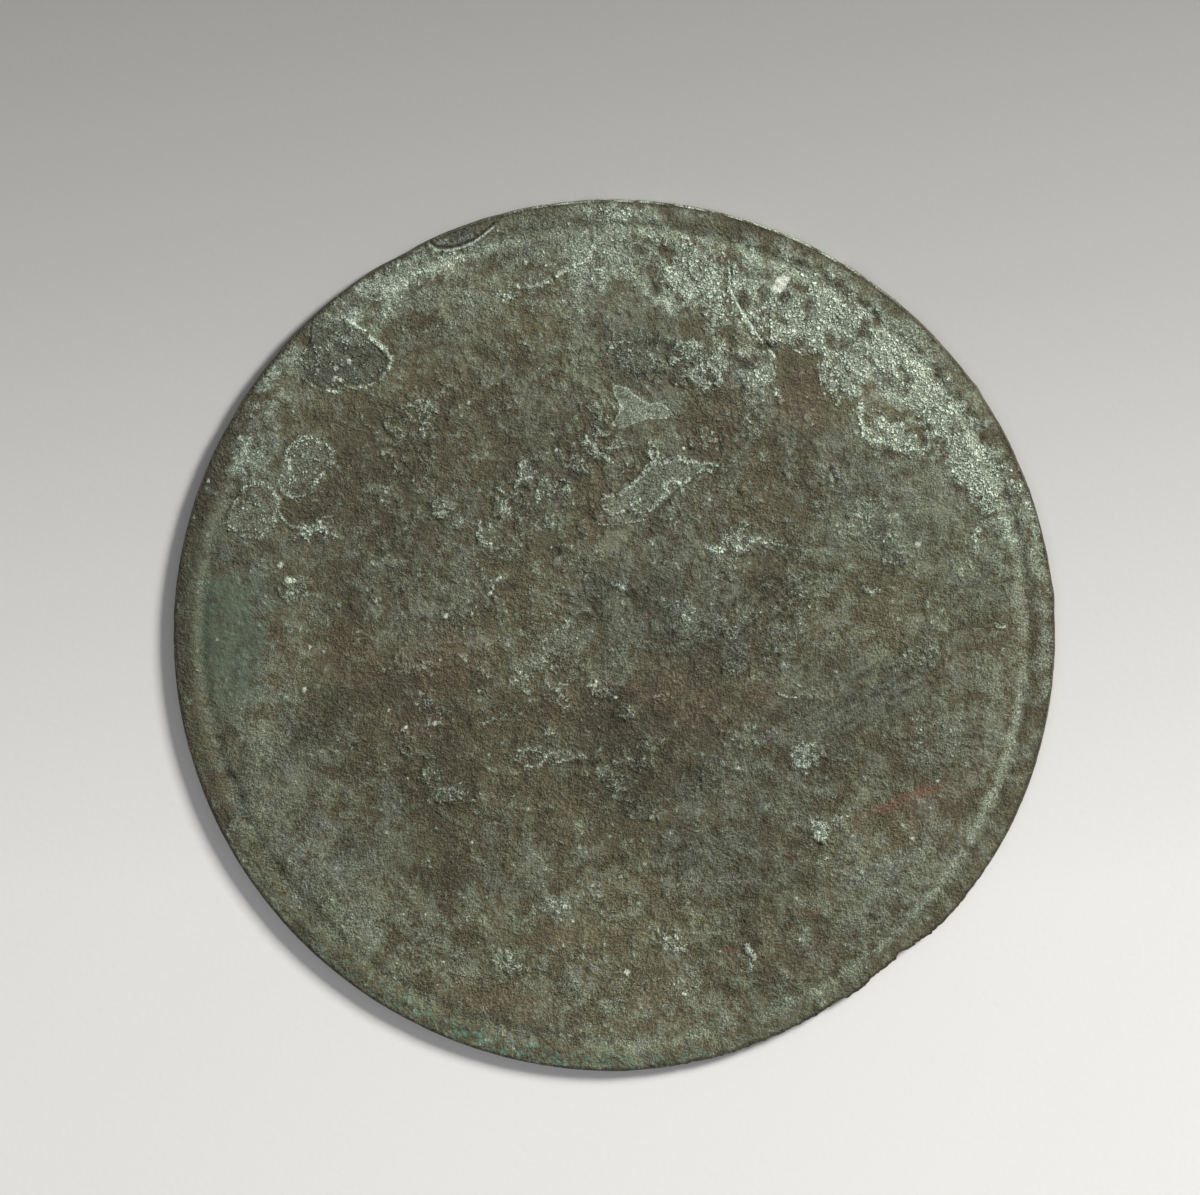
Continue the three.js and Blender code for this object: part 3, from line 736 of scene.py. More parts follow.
def edge_radius(bearing):
    """Distance of the edge from the middle: the whole disc's, less the break, with a few swellings and dents and
    a slight unevenness all round."""
    radius = DISC_RADIUS - edge_loss(bearing)
    for middle, rise, half_width in EDGE_BUMPS:
        radius = radius + rise * ridge((bearing - middle + 180) % 360 - 180, half_width)
    turn = np.radians(bearing)
    round_x, round_y = 30 * np.cos(turn), 30 * np.sin(turn)
    uneven = 0.05 * clouds(round_x, round_y, 2.4, 83, 4) + 0.02 * clouds(round_x, round_y, 0.5, 87, 2)
    return radius + uneven - 0.04


def edge_arris(bearing):
    """Radius that turns the face down into the edge: sharper along the break."""
    return ARRIS + (BREAK_ARRIS - ARRIS) * ease(edge_loss(bearing) / 0.5)


# Corrosion, with the shade and light that are painted on the face. A mask is a share from 0 to 1 at each point,
# and m holds all that is known of the points by name.

def granules(x, y):
    """Coarse and fine round grains of the crust: the coarse ones, with the fine ones between and on them, and the
    fine ones alone."""
    stretch = clouds(x, y, 3.0, 5, 2)
    coarse, own = grains(x + 0.3 * stretch, y - 0.2 * stretch, 0.7, 21, 0.52)
    fine, _ = grains(x, y, 0.46, 22, 0.5)
    return np.clip(0.85 * coarse * (0.55 + 0.5 * own) + 0.3 * fine, 0, 1), fine


def strewn(m, size, seed, width, rare, usual):
    """Round spots strewn over the face: grains of a size, of which only those whose random value
    is above the rare one stand, and only where the usual share is above 0."""
    spot, own = grains(m.x, m.y, size, seed, width)
    return spot * ease((own - rare) / 0.1) * ease(usual)


def face_points(x, y):
    """The points' bearings and distances from the edge, and the noise that all masks share."""
    radius, bearing = np.hypot(x, y), np.degrees(np.arctan2(y, x)) % 360
    grain, fine = granules(x, y)
    return SimpleNamespace(
        x=x, y=y, bearing=bearing, inset=DISC_RADIUS - radius, to_edge=edge_radius(bearing) - radius,
        grain=grain, fine=fine, **{name: clouds(x, y, *noise) for name, noise in NOISES.items()})


def drawn(marks, draw, m):
    """The masks of a table of marks: each drawn by cover or trace, with its border pushed in and out by the
    blotches, crumbs and tiny crumbs and eased over a length."""
    return {name: draw(named, m.x, m.y, blotch * m.blotch + crumb * m.crumb + tiny * m.tiny, soft)
            for name, (named, blotch, crumb, tiny, soft) in marks.items()}


def crust_masks(m):
    """Crusts with gaps, haze and veins that thin out with the noise, and the crust cut by the scratch."""
    crust = ease((m.matrix - 0.45 + 0.2 * m.crumb + 0.2 * m.blotch) / 0.4 + 0.5) * ease(0.98 + 1.5 * m.gaps)
    vein = trace(VEINS, m.x, m.y, 0.22 * m.tiny + 0.26 * m.crumb - 0.04, 0.12)
    return {
        "crust": crust * (1 - m.scratch),
        "haze": m.haze * ease(0.8 + 0.5 * m.blotch + 0.35 * m.crumb),
        "vein": vein * ease(0.98 + 1.3 * m.crumb + 0.8 * m.tiny),
    }


def plate_masks(m):
    """Low plates with raised, crumbling borders where noise crosses a level, and dots and holes between them."""
    level, low_level = contour(m.x, m.y, 4.2, 113, 4, 0.12), contour(m.x, m.y, 2.0, 117, 3, 0.1)
    lace = ridge(level - 0.05, 0.19) * ease(0.2 + 1.9 * m.broken)
    low_lace = 0.8 * ridge(low_level - 0.05, 0.17) * ease(0.05 - 1.9 * m.drift + 1.2 * m.blotch)
    lacy = 0.25 + 0.75 * m.lacy
    return {
        "lacy": lacy, "plate": ease(level / 0.5 + 0.5), "low_plate": ease(low_level / 0.45 + 0.5),
        "lace": np.maximum(lace, low_lace) * lacy,
        "lacy_share": np.maximum(0.8 * m.clusters, 0.42 * lacy * ease(0.1 + 1.6 * m.lacy_drift)),
        "dots": strewn(m, 1.55, 123, 0.26, 0.62, 0.55 + 0.9 * m.blotch),
        "holes": strewn(m, 1.9, 127, 0.3, 0.6, 0.5 - 0.9 * m.crumb),
    }


def patch(outline, m, ragged, edge):
    """Share of a patch with an outline of pixels at each point, eased over the edge length at its ragged border,
    and how deep the point lies inside the outline."""
    points = [at_pixel(*pixel) for pixel in outline]
    depth = depth_in_outline(points, m.x, m.y) + ragged * m.crumb
    return ease(depth / edge + 0.5), depth


def island_masks(m):
    """The outlined patches, with the grained islands' pale borders, the shade round the middle island and the
    lip of the green tongue."""
    grained, border = np.zeros(m.x.shape), np.zeros(m.x.shape)
    for outline in GRAINED_ISLANDS:
        share, depth = patch(outline, m, 0.4, 0.5)
        grained = np.maximum(grained, share)
        border = np.maximum(border, ridge(depth - 0.45, 0.55) * ease(0.8 + 0.8 * m.crumb))
    middle, middle_depth = patch(MIDDLE_ISLAND, m, 0.15, 0.4)
    tongue, tongue_depth = patch(GREEN_TONGUE, m, 0.12, 0.5)
    return {
        "grained": grained, "border": border, "middle": middle, "tongue": tongue,
        "dark_island": patch(DARK_ISLAND, m, 0.25, 0.5)[0], "chip": patch(WHITE_CHIP, m, 0.1, 0.3)[0],
        "middle_shade": ridge(middle_depth + 0.35, 0.25) * ease(0.6 + m.crumb),
        "tongue_lip": ridge(tongue_depth, 0.16), "raised": np.maximum(middle, tongue),
    }


def ground_masks(m):
    """Smooth, sandy and striated ground, and how rough it all is. The striations are noise that is drawn out
    along their direction."""
    smooth = np.maximum(m.smooth, 0.8 * ease(0.1 + 1.5 * m.smooth_drift))
    sandy = m.sandy * ease(0.75 + 0.9 * m.sandy_drift)
    across = m.y * math.cos(STRIATION_TURN) - m.x * math.sin(STRIATION_TURN)
    along = m.x * math.cos(STRIATION_TURN) + m.y * math.sin(STRIATION_TURN)
    stripes = slope_noise(across / STRIATION_WIDTH + 0.5 * m.blotch, along / STRIATION_LENGTH, 91)
    return {
        "sandy": sandy, "sand": m.tiny * sandy, "stripes": stripes * m.striated,
        "rough": (0.5 + 0.5 * sandy) * (1 - 0.65 * np.maximum(smooth, m.tongue)),
    }


def white_masks(m):
    """The white grains: round domes with a ragged border, and the chip."""
    white, bead = np.zeros(m.x.shape), np.zeros(m.x.shape)
    for across, down, size in WHITE_GRAINS:
        spot_x, spot_y = at_pixel(across, down)
        near = within(m.x, m.y, spot_x, spot_y, 2.5 * size * PIXEL)
        away = np.hypot(m.x[near] - spot_x, m.y[near] - spot_y) / (size * PIXEL) + 0.35 * m.tiny[near]
        white[near] = np.maximum(white[near], 0.6 * ease((1.1 - away) / 0.6) * ease(size / 4))
        bead[near] = np.maximum(bead[near], 0.05 * size * np.sqrt(np.clip(1 - (away / 1.15) ** 2, 0, 1)))
    return {"white": np.maximum(white, 0.5 * m.chip), "bead": bead}


def rim_masks(m):
    """The groove, pale all round and with a painted highlight that is strongest towards the light, fainter at the
    photograph's right; painted shade inside the groove and over the rim's band on the side away from the light;
    the band of the rim outside the groove, darker and browner at its left as painted shade, with its turquoise
    bottom; its crest, and the dark line of the upper arris."""
    # upper is how far a bearing lies towards the key light; the groove's pale grows with it as a painted highlight.
    upper = 0.5 + 0.5 * np.cos(np.radians(m.bearing - 30))
    groove = ridge(m.inset - 5.2 - 0.15 * m.blotch, 1.15 + 0.2 * m.crumb)
    groove = groove * (0.38 + 0.6 * upper) * ease(0.95 + 0.6 * m.blotch)
    groove = groove * (1 - 0.45 * ridge(m.y - 3, 16) * (m.x > 0))
    band = ease((GROOVE_INSET - 0.3 - m.inset + 0.6 * m.blotch + 0.3 * m.crumb) / 1.6)
    return {
        "groove": groove, "veil": np.maximum(m.haze, groove),
        # Painted shade: inside the groove and over the rim's band on the side away from the light, and darker and
        # browner at the rim's left.
        "under_groove": ridge(m.inset - 6.3, 0.5) * (1 - upper),
        "lower_band": band * (1 - upper), "left_band": band * ridge(m.bearing - 172, 34),
        "crest": ridge(m.inset - RIM_CREST_INSET, 0.9),
        "arris_line": ease((0.75 + 0.25 * m.crumb - m.to_edge) / 0.5),
        "turquoise": band * ridge(m.bearing - 256, 26) * ease(0.1 + 1.5 * m.verdigris),
    }


def weighted(m, weights):
    """Masks and noises times their weights."""
    return [weight * getattr(m, name) for name, weight in weights.items()]


def grained_masks(m, weights, grain):
    """Masks whose strength goes from the first weight between the grains to both weights together on them."""
    return [getattr(m, name) * (least + more * grain) for name, (least, more) in weights.items()]


def pale_share(m):
    """The strongest of all that is pale, less what is sunk."""
    pale = weighted(m, PALE) + grained_masks(m, PALE_ON_GRAINS, m.grain)
    pale += grained_masks(m, PALE_ON_FINE_GRAINS, m.fine)
    pale += [0.46 * m.matrix * ease(0.95 + 1.3 * m.gaps), 0.85 * ease(m.bead / 0.06)]
    return np.maximum.reduce(pale) * (1 - 0.9 * np.maximum(m.crack, m.pit)) * (1 - 0.6 * m.dark_vein)


def hollow_and_shade_share(m):
    """The strongest of all that is dark and sunk, partly painted shade, with the painted shade round the middle
    island, the gaps between the grains of the dark island and the dark line along the arris.
    """
    between_grains = 0.5 * m.dark_island * ease((0.35 - m.grain) / 0.3)
    return np.maximum.reduce(weighted(m, HOLLOW_AND_SHADE) + [between_grains, 0.5 * m.arris_line * ease(0.6 + m.crumb)])


def face_relief(m):
    """Height of the corroded face above the bare metal: the sum of all that is raised or sunk, which dies away
    at the edge."""
    relief = sum(weighted(m, RELIEF)) + sum(grained_masks(m, RELIEF_ON_GRAINS, m.grain))
    relief = relief + m.rough * sum(weighted(m, ROUGH_RELIEF)) + m.clusters * (0.05 + 0.1 * ease(3 * m.crumb))
    relief = relief + m.lacy * (0.12 * m.plate + 0.09 * m.rough * m.low_plate) + 0.09 * m.sandy * m.fine
    return relief * ease(m.to_edge / 0.7)


def patina(x, y):
    """What corrosion has made of the face, with the shade and light painted on it. Each share runs from 0 to 1 at a
    point, the tone is a factor of lightness, and the relief is in millimetres above the bare metal."""
    m = face_points(x, y)
    vars(m).update(drawn(AREAS, cover, m))
    vars(m).update(drawn(LINES, trace, m))
    for masks in (crust_masks, plate_masks, island_masks, ground_masks, white_masks, rim_masks):
        vars(m).update(masks(m))
    tone = TONE_BASE + sum(weighted(m, TONE))
    for shade in weighted(m, TONE_SHADES):
        tone = tone * (1 - shade)
    crust = weighted(m, STANDING_GRAINS) + [m.crust * (0.95 + 0.3 * m.crumb), 0.5 * m.wash * ease(0.5 + m.crumb)]
    shares = {
        "green": GREEN_BASE + sum(weighted(m, GREEN)), "pale": pale_share(m), "hollow": hollow_and_shade_share(m),
        "white": m.white, "grain": m.rough, "teal": m.teal, "turquoise": m.turquoise,
        "rust": np.maximum(m.rust, 0.7 * m.reddish),
        "lacy": m.lacy_share * (1 - m.crust) * (1 - np.maximum(0.8 * m.middle, m.tongue)),
        "crust": np.maximum.reduce(crust),
    }
    shares = {name: np.clip(share, 0, 1) for name, share in shares.items()}
    return shares | {"tone": np.clip(tone * GROUND_TONE, 0.2, 2)}, face_relief(m)


# Meshes

def mesh_piece(name, points, faces, shares, flat_from=None):
    """A mesh object from points in millimetres and faces as arrays of corner numbers, with its shares as
    attributes of the points. Faces are smooth up to flat_from."""
    mesh = bpy.data.meshes.new(name)
    corners = np.concatenate([np.ravel(group) for group in faces])
    sizes = np.concatenate([np.full(len(group), group.shape[1]) for group in faces])
    mesh.vertices.add(len(points))
    mesh.vertices.foreach_set("co", (points * METRES).astype(np.float32).ravel())
    mesh.loops.add(len(corners))
    mesh.loops.foreach_set("vertex_index", corners.astype(np.int32))
    mesh.polygons.add(len(sizes))
    mesh.polygons.foreach_set("loop_start", np.concatenate([[0], np.cumsum(sizes)[:-1]]).astype(np.int32))
    smooth = np.ones(len(sizes), bool)
    if flat_from is not None:
        smooth[flat_from:] = False
    mesh.polygons.foreach_set("use_smooth", smooth)
    mesh.update(calc_edges=True)
    mesh.validate()
    for share, values in shares.items():
        layer = mesh.attributes.new(share, "FLOAT", "POINT")
        layer.data.foreach_set("value", values.astype(np.float32))
    piece = bpy.data.objects.new(name, mesh)
    bpy.context.scene.collection.objects.link(piece)
    return piece


def edge_wall(bearing, fine):
    """Rings of points down the edge, from just under the face's border: a quarter circle for the arris, then the
    wall, whose unevenness follows the way round and the height. The fine part goes down to the level where the
    body's part begins."""
    reach, arris = edge_radius(bearing), edge_arris(bearing)
    top = casting_height(reach - arris)
    turn = np.radians(bearing)
    rings = []
    if fine:
        for angle in np.radians([67.5, 45, 22.5, 0]):
            rings.append((reach - arris + arris * np.cos(angle), top - arris + arris * np.sin(angle)))
        for share in (0.33, 0.66, 1):
            rings.append((reach, (top - arris) * (1 - share) + SKIN_LEVEL * share))
    else:
        rings.append((reach, 0 * reach + SKIN_LEVEL))
        rings.append((reach, 0 * reach + (SKIN_LEVEL + LOWER_ARRIS) / 2))
        for angle in np.radians([0, 30, 60, 90]):
            height = 0 * reach + LOWER_ARRIS * (1 - np.sin(angle))
            rings.append((reach - LOWER_ARRIS + LOWER_ARRIS * np.cos(angle), height))
    placed = []
    for radius, height in rings:
        dent = clouds(40 * np.cos(turn), 40 * np.sin(turn) + 3 * height, 1.3, 77, 3)
        depth = ease((top - height) / 0.6) * ease(height / 0.4)
        radius = radius + depth * dent * (0.035 + 0.09 * ease(edge_loss(bearing) / 0.5))
        placed.append(np.stack([radius * np.cos(turn), radius * np.sin(turn), height], axis=-1))
    return placed


def edge_shares(points):
    """Shares of the edge's wall: brown, with pale metal bared by wear along the top of the photograph, lightened
    there as a painted glint.
    """
    x, y, z = points.T
    bearing = np.degrees(np.arctan2(y, x)) % 360
    turn = np.radians(bearing)
    noise = clouds(40 * np.cos(turn), 40 * np.sin(turn) + 4 * z, 2.2, 79, 4)
    # Pale metal bared by wear along the top of the photograph, also lightened in tone as a painted glint.
    worn_glint = np.exp(-(((bearing - 77) / 30) ** 4)) * ease(0.75 + noise)
    none = np.zeros(x.shape)
    return {
        "green": np.clip(0.32 + 0.35 * noise, 0, 1), "tone": 0.72 + 0.25 * noise + 0.4 * worn_glint, "pale": 0.72 * worn_glint,
        "hollow": none, "white": none, "grain": none + 0.7, "teal": none, "turquoise": none,
        "rust": np.clip(0.25 * noise, 0, 1), "lacy": none, "crust": none,
    }


def skin_sector(number):
    """One sixth of the face's skin: rows of points fan out from the middle, each row with one point more than
    the last, their rise the casting's height and the relief. One more point at each end of a row lies just under
    the next sector, so that the surface runs on across the border. Heights near the highest that a crust may
    reach are drawn in by a hyperbolic tangent. The edge's wall hangs from the last row, and a flat base and two
    sides close the sector inside the disc."""
    counts = np.concatenate([[1], np.arange(1, FACE_RINGS + 1) + 3])
    starts = np.concatenate([[0], np.cumsum(counts)[:-1]])
    rows = np.repeat(np.arange(FACE_RINGS + 1), counts)
    steps = np.arange(len(rows)) - starts[rows] - (rows > 0)
    bearing = 360 / SECTORS * (number + steps / np.maximum(rows, 1))
    under = (steps < 0) | (steps > rows)
    plain = rows / FACE_RINGS * (DISC_RADIUS - ARRIS)
    border = edge_radius(bearing) - edge_arris(bearing)
    pull = ease((plain - (DISC_RADIUS - EDGE_PULL)) / (EDGE_PULL - ARRIS))
    radius = plain + pull * (border - (DISC_RADIUS - ARRIS))
    x, y = radius * np.cos(np.radians(bearing)), radius * np.sin(np.radians(bearing))
    shares, relief = patina(x, y)
    height = casting_height(radius) - METAL_DEPTH * ease((border - radius) / 2) + relief
    crowded = np.maximum(height - HIGHEST_CRUST + CRUST_SOFTNESS, 0)
    height = height - crowded + CRUST_SOFTNESS * np.tanh(crowded / CRUST_SOFTNESS) - SECTOR_LAP * under
    face = np.stack([x, y, height], axis=-1)

    last = starts[-1] + np.arange(FACE_RINGS + 3)
    wall = edge_wall(bearing[last], True)
    for ring in wall:
        ring[[0, -1], :2] *= 1 - SECTOR_LAP / DISC_RADIUS
    points = np.concatenate([face, *wall, [[0, 0, SKIN_LEVEL]]])
    middle_below = len(points) - 1

    inside = (rows < FACE_RINGS) & (rows > 0)
    inner = np.arange(len(rows))
    outer = inner + counts[rows]
    outward = np.stack([inner, outer, outer + 1], axis=-1)[inside]
    inward = np.stack([inner, outer + 1, inner + 1], axis=-1)[inside & (steps <= rows)]
    fan = np.array([[0, 1, 2], [0, 2, 3], [0, 3, 4]])
    rings = [last] + [len(face) + down * len(last) + np.arange(len(last)) for down in range(len(wall))]
    quads = [np.stack([high[:-1], low[:-1], low[1:], high[1:]], axis=-1) for high, low in zip(rings, rings[1:])]

    first_side = np.concatenate([starts, [ring[0] for ring in rings[1:]], [middle_below]])[::-1]
    final_side = np.concatenate([starts + counts - 1, [ring[-1] for ring in rings[1:]], [middle_below]])
    base = np.concatenate([rings[-1][::-1], [middle_below]])
    faces = [outward, inward, fan, *quads]
    flat_from = sum(len(group) for group in faces)
    faces += [first_side[None], final_side[None], base[None]]

    rim_shares = edge_shares(points[len(face):])
    joined = {name: np.concatenate([shares[name], rim_shares[name]]) for name in shares}
    return mesh_piece(f"face_skin_{number + 1}", points, faces, joined, flat_from)


def ring_strip(outer, inner):
    """Faces between two closed rings of point numbers, seen from the outer ring's side with the inner to its
    left: quads where they have the same number of points, else three triangles for each point of an inner ring
    with half as many."""
    if len(outer) == len(inner):
        return [np.stack([outer, np.roll(outer, -1), np.roll(inner, -1), inner], axis=-1)]
    even, odd, after = outer[::2], outer[1::2], np.roll(outer, -2)[::2]
    return [np.stack([even, odd, inner], axis=-1), np.stack([odd, np.roll(inner, -1), inner], axis=-1),
            np.stack([odd, after, np.roll(inner, -1)], axis=-1)]


def underside_points(counts):
    """Rings of points over the underside, from its border in to the middle, a little uneven with pitting."""
    rings = np.repeat(counts // SECTORS, counts)
    step = np.concatenate([np.arange(count) for count in counts])
    angle = 360 * step / (SECTORS * rings)
    radius = (edge_radius(angle) - LOWER_ARRIS - 0.25) * rings / BACK_RINGS
    x, y = radius * np.cos(np.radians(angle)), radius * np.sin(np.radians(angle))
    pitting = 0.04 * clouds(x, y, 11.0, 101, 4) + 0.035 * clouds(x, y, 2.4, 103, 4) + 0.04
    rise = np.clip(pitting, 0, 0.2) * ease((DISC_RADIUS - 1.2 - radius) / 3)
    return np.stack([x, y, rise], axis=-1)


def underside_faces(starts, middle):
    """Faces over the underside, which look down: one triangle for each point of a ring, one for each point of
    the ring inside it but six, and a fan round the middle. The starts are the rings' first point numbers."""
    faces = []
    for n in range(BACK_RINGS, 1, -1):
        side, along = np.repeat(np.arange(SECTORS), n), np.tile(np.arange(n), SECTORS)
        outer = starts[n] + side * n + along
        after = starts[n] + (side * n + along + 1) % (SECTORS * n)
        inner = starts[n - 1] + (side * (n - 1) + along) % (SECTORS * (n - 1))
        before = starts[n - 1] + side * (n - 1) + along - 1
        faces.append(np.stack([after, outer, inner], axis=-1))
        faces.append(np.stack([outer, before, inner], axis=-1)[along > 0])
    last_ring = starts[1] + np.arange(SECTORS)
    faces.append(np.stack([np.roll(last_ring, -1), last_ring, np.full(SECTORS, middle)], axis=-1))
    return faces


def disc_body():
    """The whole disc under the face's skin: rings of points from the middle of its hidden top out to the level
    where the skin ends, down the edge's wall, and in over the underside to the middle, where the points of each
    ring are six fewer than those of the ring outside it."""
    around = SECTORS * FACE_RINGS
    rings = []
    for part, share in BODY_TOP_RINGS:
        bearing = np.arange(int(around * part)) * 360 / int(around * part)
        radius = (edge_radius(bearing) - BODY_INSET) * share
        rings.append((bearing, radius, casting_height(radius) - SKIN_THICKNESS))
    radius = edge_radius(bearing) - BODY_INSET
    rings.append((bearing, radius, 0 * radius + SKIN_LEVEL + BODY_LAP))
    upper = [np.stack([r * np.cos(np.radians(b)), r * np.sin(np.radians(b)), z], axis=-1) for b, r, z in rings]
    wall = edge_wall(bearing, False)
    counts = SECTORS * np.arange(BACK_RINGS, 0, -1)
    below = underside_points(counts)
    top_middle = [[0, 0, casting_height(0.0) - SKIN_THICKNESS]]
    points = np.concatenate([top_middle, *upper, *wall, below, [[0, 0, 0.04]]])

    ends = 1 + np.cumsum([len(ring) for ring in upper + wall])
    ring_numbers = [np.arange(end - len(ring), end) for ring, end in zip(upper + wall, ends)]
    faces = [np.stack([0 * ring_numbers[0], ring_numbers[0], np.roll(ring_numbers[0], -1)], axis=-1)]
    for inner, outer in zip(ring_numbers, ring_numbers[1:]):
        faces += ring_strip(outer, inner)
    # The underside's first ring has half as many points as the wall's last.
    first = ends[-1] + np.arange(counts[0])
    faces += [group[:, ::-1] for group in ring_strip(ring_numbers[-1], first)]
    starts = {n: ends[-1] + counts[:BACK_RINGS - n].sum() for n in range(BACK_RINGS, 0, -1)}
    faces += underside_faces(starts, len(points) - 1)

    shares = edge_shares(points)
    x, y, _ = points.T
    drift, blotch = clouds(x, y, 14, 107, 4), clouds(x, y, 3.5, 109, 4)
    back = {
        "green": np.clip(0.5 + 0.5 * drift + 0.35 * blotch, 0, 1), "tone": 0.95 + 0.12 * drift + 0.14 * blotch,
        "pale": np.clip(0.12 + 0.4 * blotch + 0.2 * drift, 0, 0.6),
    }
    is_back = np.arange(len(points)) >= ends[-1]
    shares |= {name: np.where(is_back, share, shares[name]) for name, share in back.items()}
    return mesh_piece("mirror_disc_body", points, faces, shares)


# Materials: colours are those of the patina in plain white light. The pale crust colours also paint highlights,
# and the hollows' dark brown also paints shade.
BROWN = (0.098, 0.087, 0.047, 1)
OLIVE = (0.090, 0.086, 0.043, 1)
GREY_GREEN = (0.134, 0.144, 0.094, 1)
BLUE_GREY = (0.122, 0.130, 0.110, 1)
PALE_GREEN = (0.255, 0.304, 0.238, 1)
PALE_MINT = (0.590, 0.670, 0.530, 1)
# Dark brown of the hollows, also used as painted shade.
HOLLOW_AND_SHADE_BROWN = (0.026, 0.022, 0.013, 1)
TEAL = (0.070, 0.102, 0.064, 1)
TURQUOISE = (0.115, 0.270, 0.200, 1)
RUST = (0.200, 0.088, 0.058, 1)
WHITE = (0.760, 0.760, 0.660, 1)

# What the patina reads at each point of a piece.
SHARES = ("green", "tone", "pale", "hollow", "white", "grain", "teal", "turquoise", "rust", "lacy", "crust")
# Fine plates and crumbs: scale of their noise, the level that they rise at, half the width of the rise, and height.
PLATE_STEPS = ((0.3, 0.5, 0.014, 1.1), (0.7, 0.54, 0.03, 1.2))
# Grains: how many to a millimetre, how far a dome reaches, and how strong it is.
GRAIN_SIZES = ((1.35, 0.5, 1.0), (2.5, 0.5, 0.7))
# How deep the finest relief is, in millimetres.
FACE_GRAIN_DEPTH = 0.3
BACK_GRAIN_DEPTH = 0.1


def node(tree, kind, inputs=None, **settings):
    """Adds a node, sets its settings, and sets or links its inputs by name or number."""
    made = tree.nodes.new(kind)
    for name, value in settings.items():
        setattr(made, name, value)
    for name, value in (inputs or {}).items():
        if isinstance(value, bpy.types.NodeSocket):
            tree.links.new(value, made.inputs[name])
        else:
            made.inputs[name].default_value = value
    return made


def maths(tree, operation, *values):
    return node(tree, "ShaderNodeMath", dict(enumerate(values)), operation=operation).outputs[0]


def mixed(tree, share, first, second, blend_type="MIX"):
    made = node(tree, "ShaderNodeMix", {0: share, 6: first, 7: second}, data_type="RGBA", blend_type=blend_type)
    return made.outputs[2]


def product(tree, first, *others):
    for other in others:
        first = maths(tree, "MULTIPLY", first, other)
    return first


def swing(tree, texture, strength):
    """A noise of about 0 to 1 as a push of about minus to plus half the strength."""
    return product(tree, maths(tree, "SUBTRACT", texture, 0.5), strength)


def noise(tree, place, scale, detail, roughness=0.5):
    inputs = {"Vector": place, "Scale": scale, "Detail": detail, "Roughness": roughness}
    return node(tree, "ShaderNodeTexNoise", inputs).outputs["Fac"]


def ranged(tree, value, low, high, start=0.0, stop=1.0, curve="LINEAR"):
    """A value's share of the way from low to high, held to 0 and 1, as a share of the way from start to stop."""
    made = node(tree, "ShaderNodeMapRange", {0: value, 1: low, 2: high, 3: start, 4: stop}, interpolation_type=curve)
    return made.outputs[0]


PLACE = [("Place", "NodeSocketVector")]  # in millimetres


def numbers(*labels):
    """Sockets of a group that hold a number."""
    return [(label, "NodeSocketFloat") for label in labels]


def new_group(name, inputs, outputs):
    tree = bpy.data.node_groups.new(name, "ShaderNodeTree")
    for label, kind in inputs:
        tree.interface.new_socket(label, in_out="INPUT", socket_type=kind)
    for label, kind in outputs:
        tree.interface.new_socket(label, in_out="OUTPUT", socket_type=kind)
    return tree, tree.nodes.new("NodeGroupInput").outputs, tree.nodes.new("NodeGroupOutput").inputs


def crumble_group():
    """Fine crumbs of corrosion: a speck and a mottle of noise for colour, the pale lips of plates and crumbs, and
    a height. Plates and crumbs rise in a step where noise passes a level; specks and round grains lie on them."""
    tree, given, out = new_group("fine_crumble", PLACE + numbers("Strength", "Plates"),
                                 numbers("Speck", "Mottle", "Lip", "Height"))
    place = given["Place"]
    coarse, sand = noise(tree, place, 1.5, 2, 0.6), noise(tree, place, 3.6, 2, 0.8)
    speck = maths(tree, "ADD", swing(tree, coarse, 0.8), swing(tree, sand, 3.6))
    speck = node(tree, "ShaderNodeMath", {0: speck, 1: 0.5}, operation="ADD", use_clamp=True).outputs[0]
    cell = node(tree, "ShaderNodeTexVoronoi", {"Vector": place, "Scale": 1.9, "Randomness": 1.0})
    dome = maths(tree, "SUBTRACT", 0.6, cell.outputs["Distance"])
    rise = maths(tree, "ADD", swing(tree, coarse, 2.6), swing(tree, sand, 2.2))
    height = product(tree, maths(tree, "ADD", product(tree, dome, 0.9), rise), given["Strength"])
    lip = 0.0
    for scale, level, width, rise in PLATE_STEPS:
        field = noise(tree, place, scale, 3, 0.52)
        step = ranged(tree, field, level - width, level + width, curve="SMOOTHSTEP")
        height = maths(tree, "ADD", height, product(tree, step, rise, given["Plates"]))
        away = maths(tree, "ABSOLUTE", maths(tree, "SUBTRACT", field, level + width))
        lip = maths(tree, "MAXIMUM", ranged(tree, away, width, 2 * width, 1.0, 0.0), lip)
    tree.links.new(speck, out["Speck"])
    tree.links.new(noise(tree, place, 0.75, 4, 0.6), out["Mottle"])
    tree.links.new(product(tree, lip, given["Plates"]), out["Lip"])
    tree.links.new(height, out["Height"])
    return tree


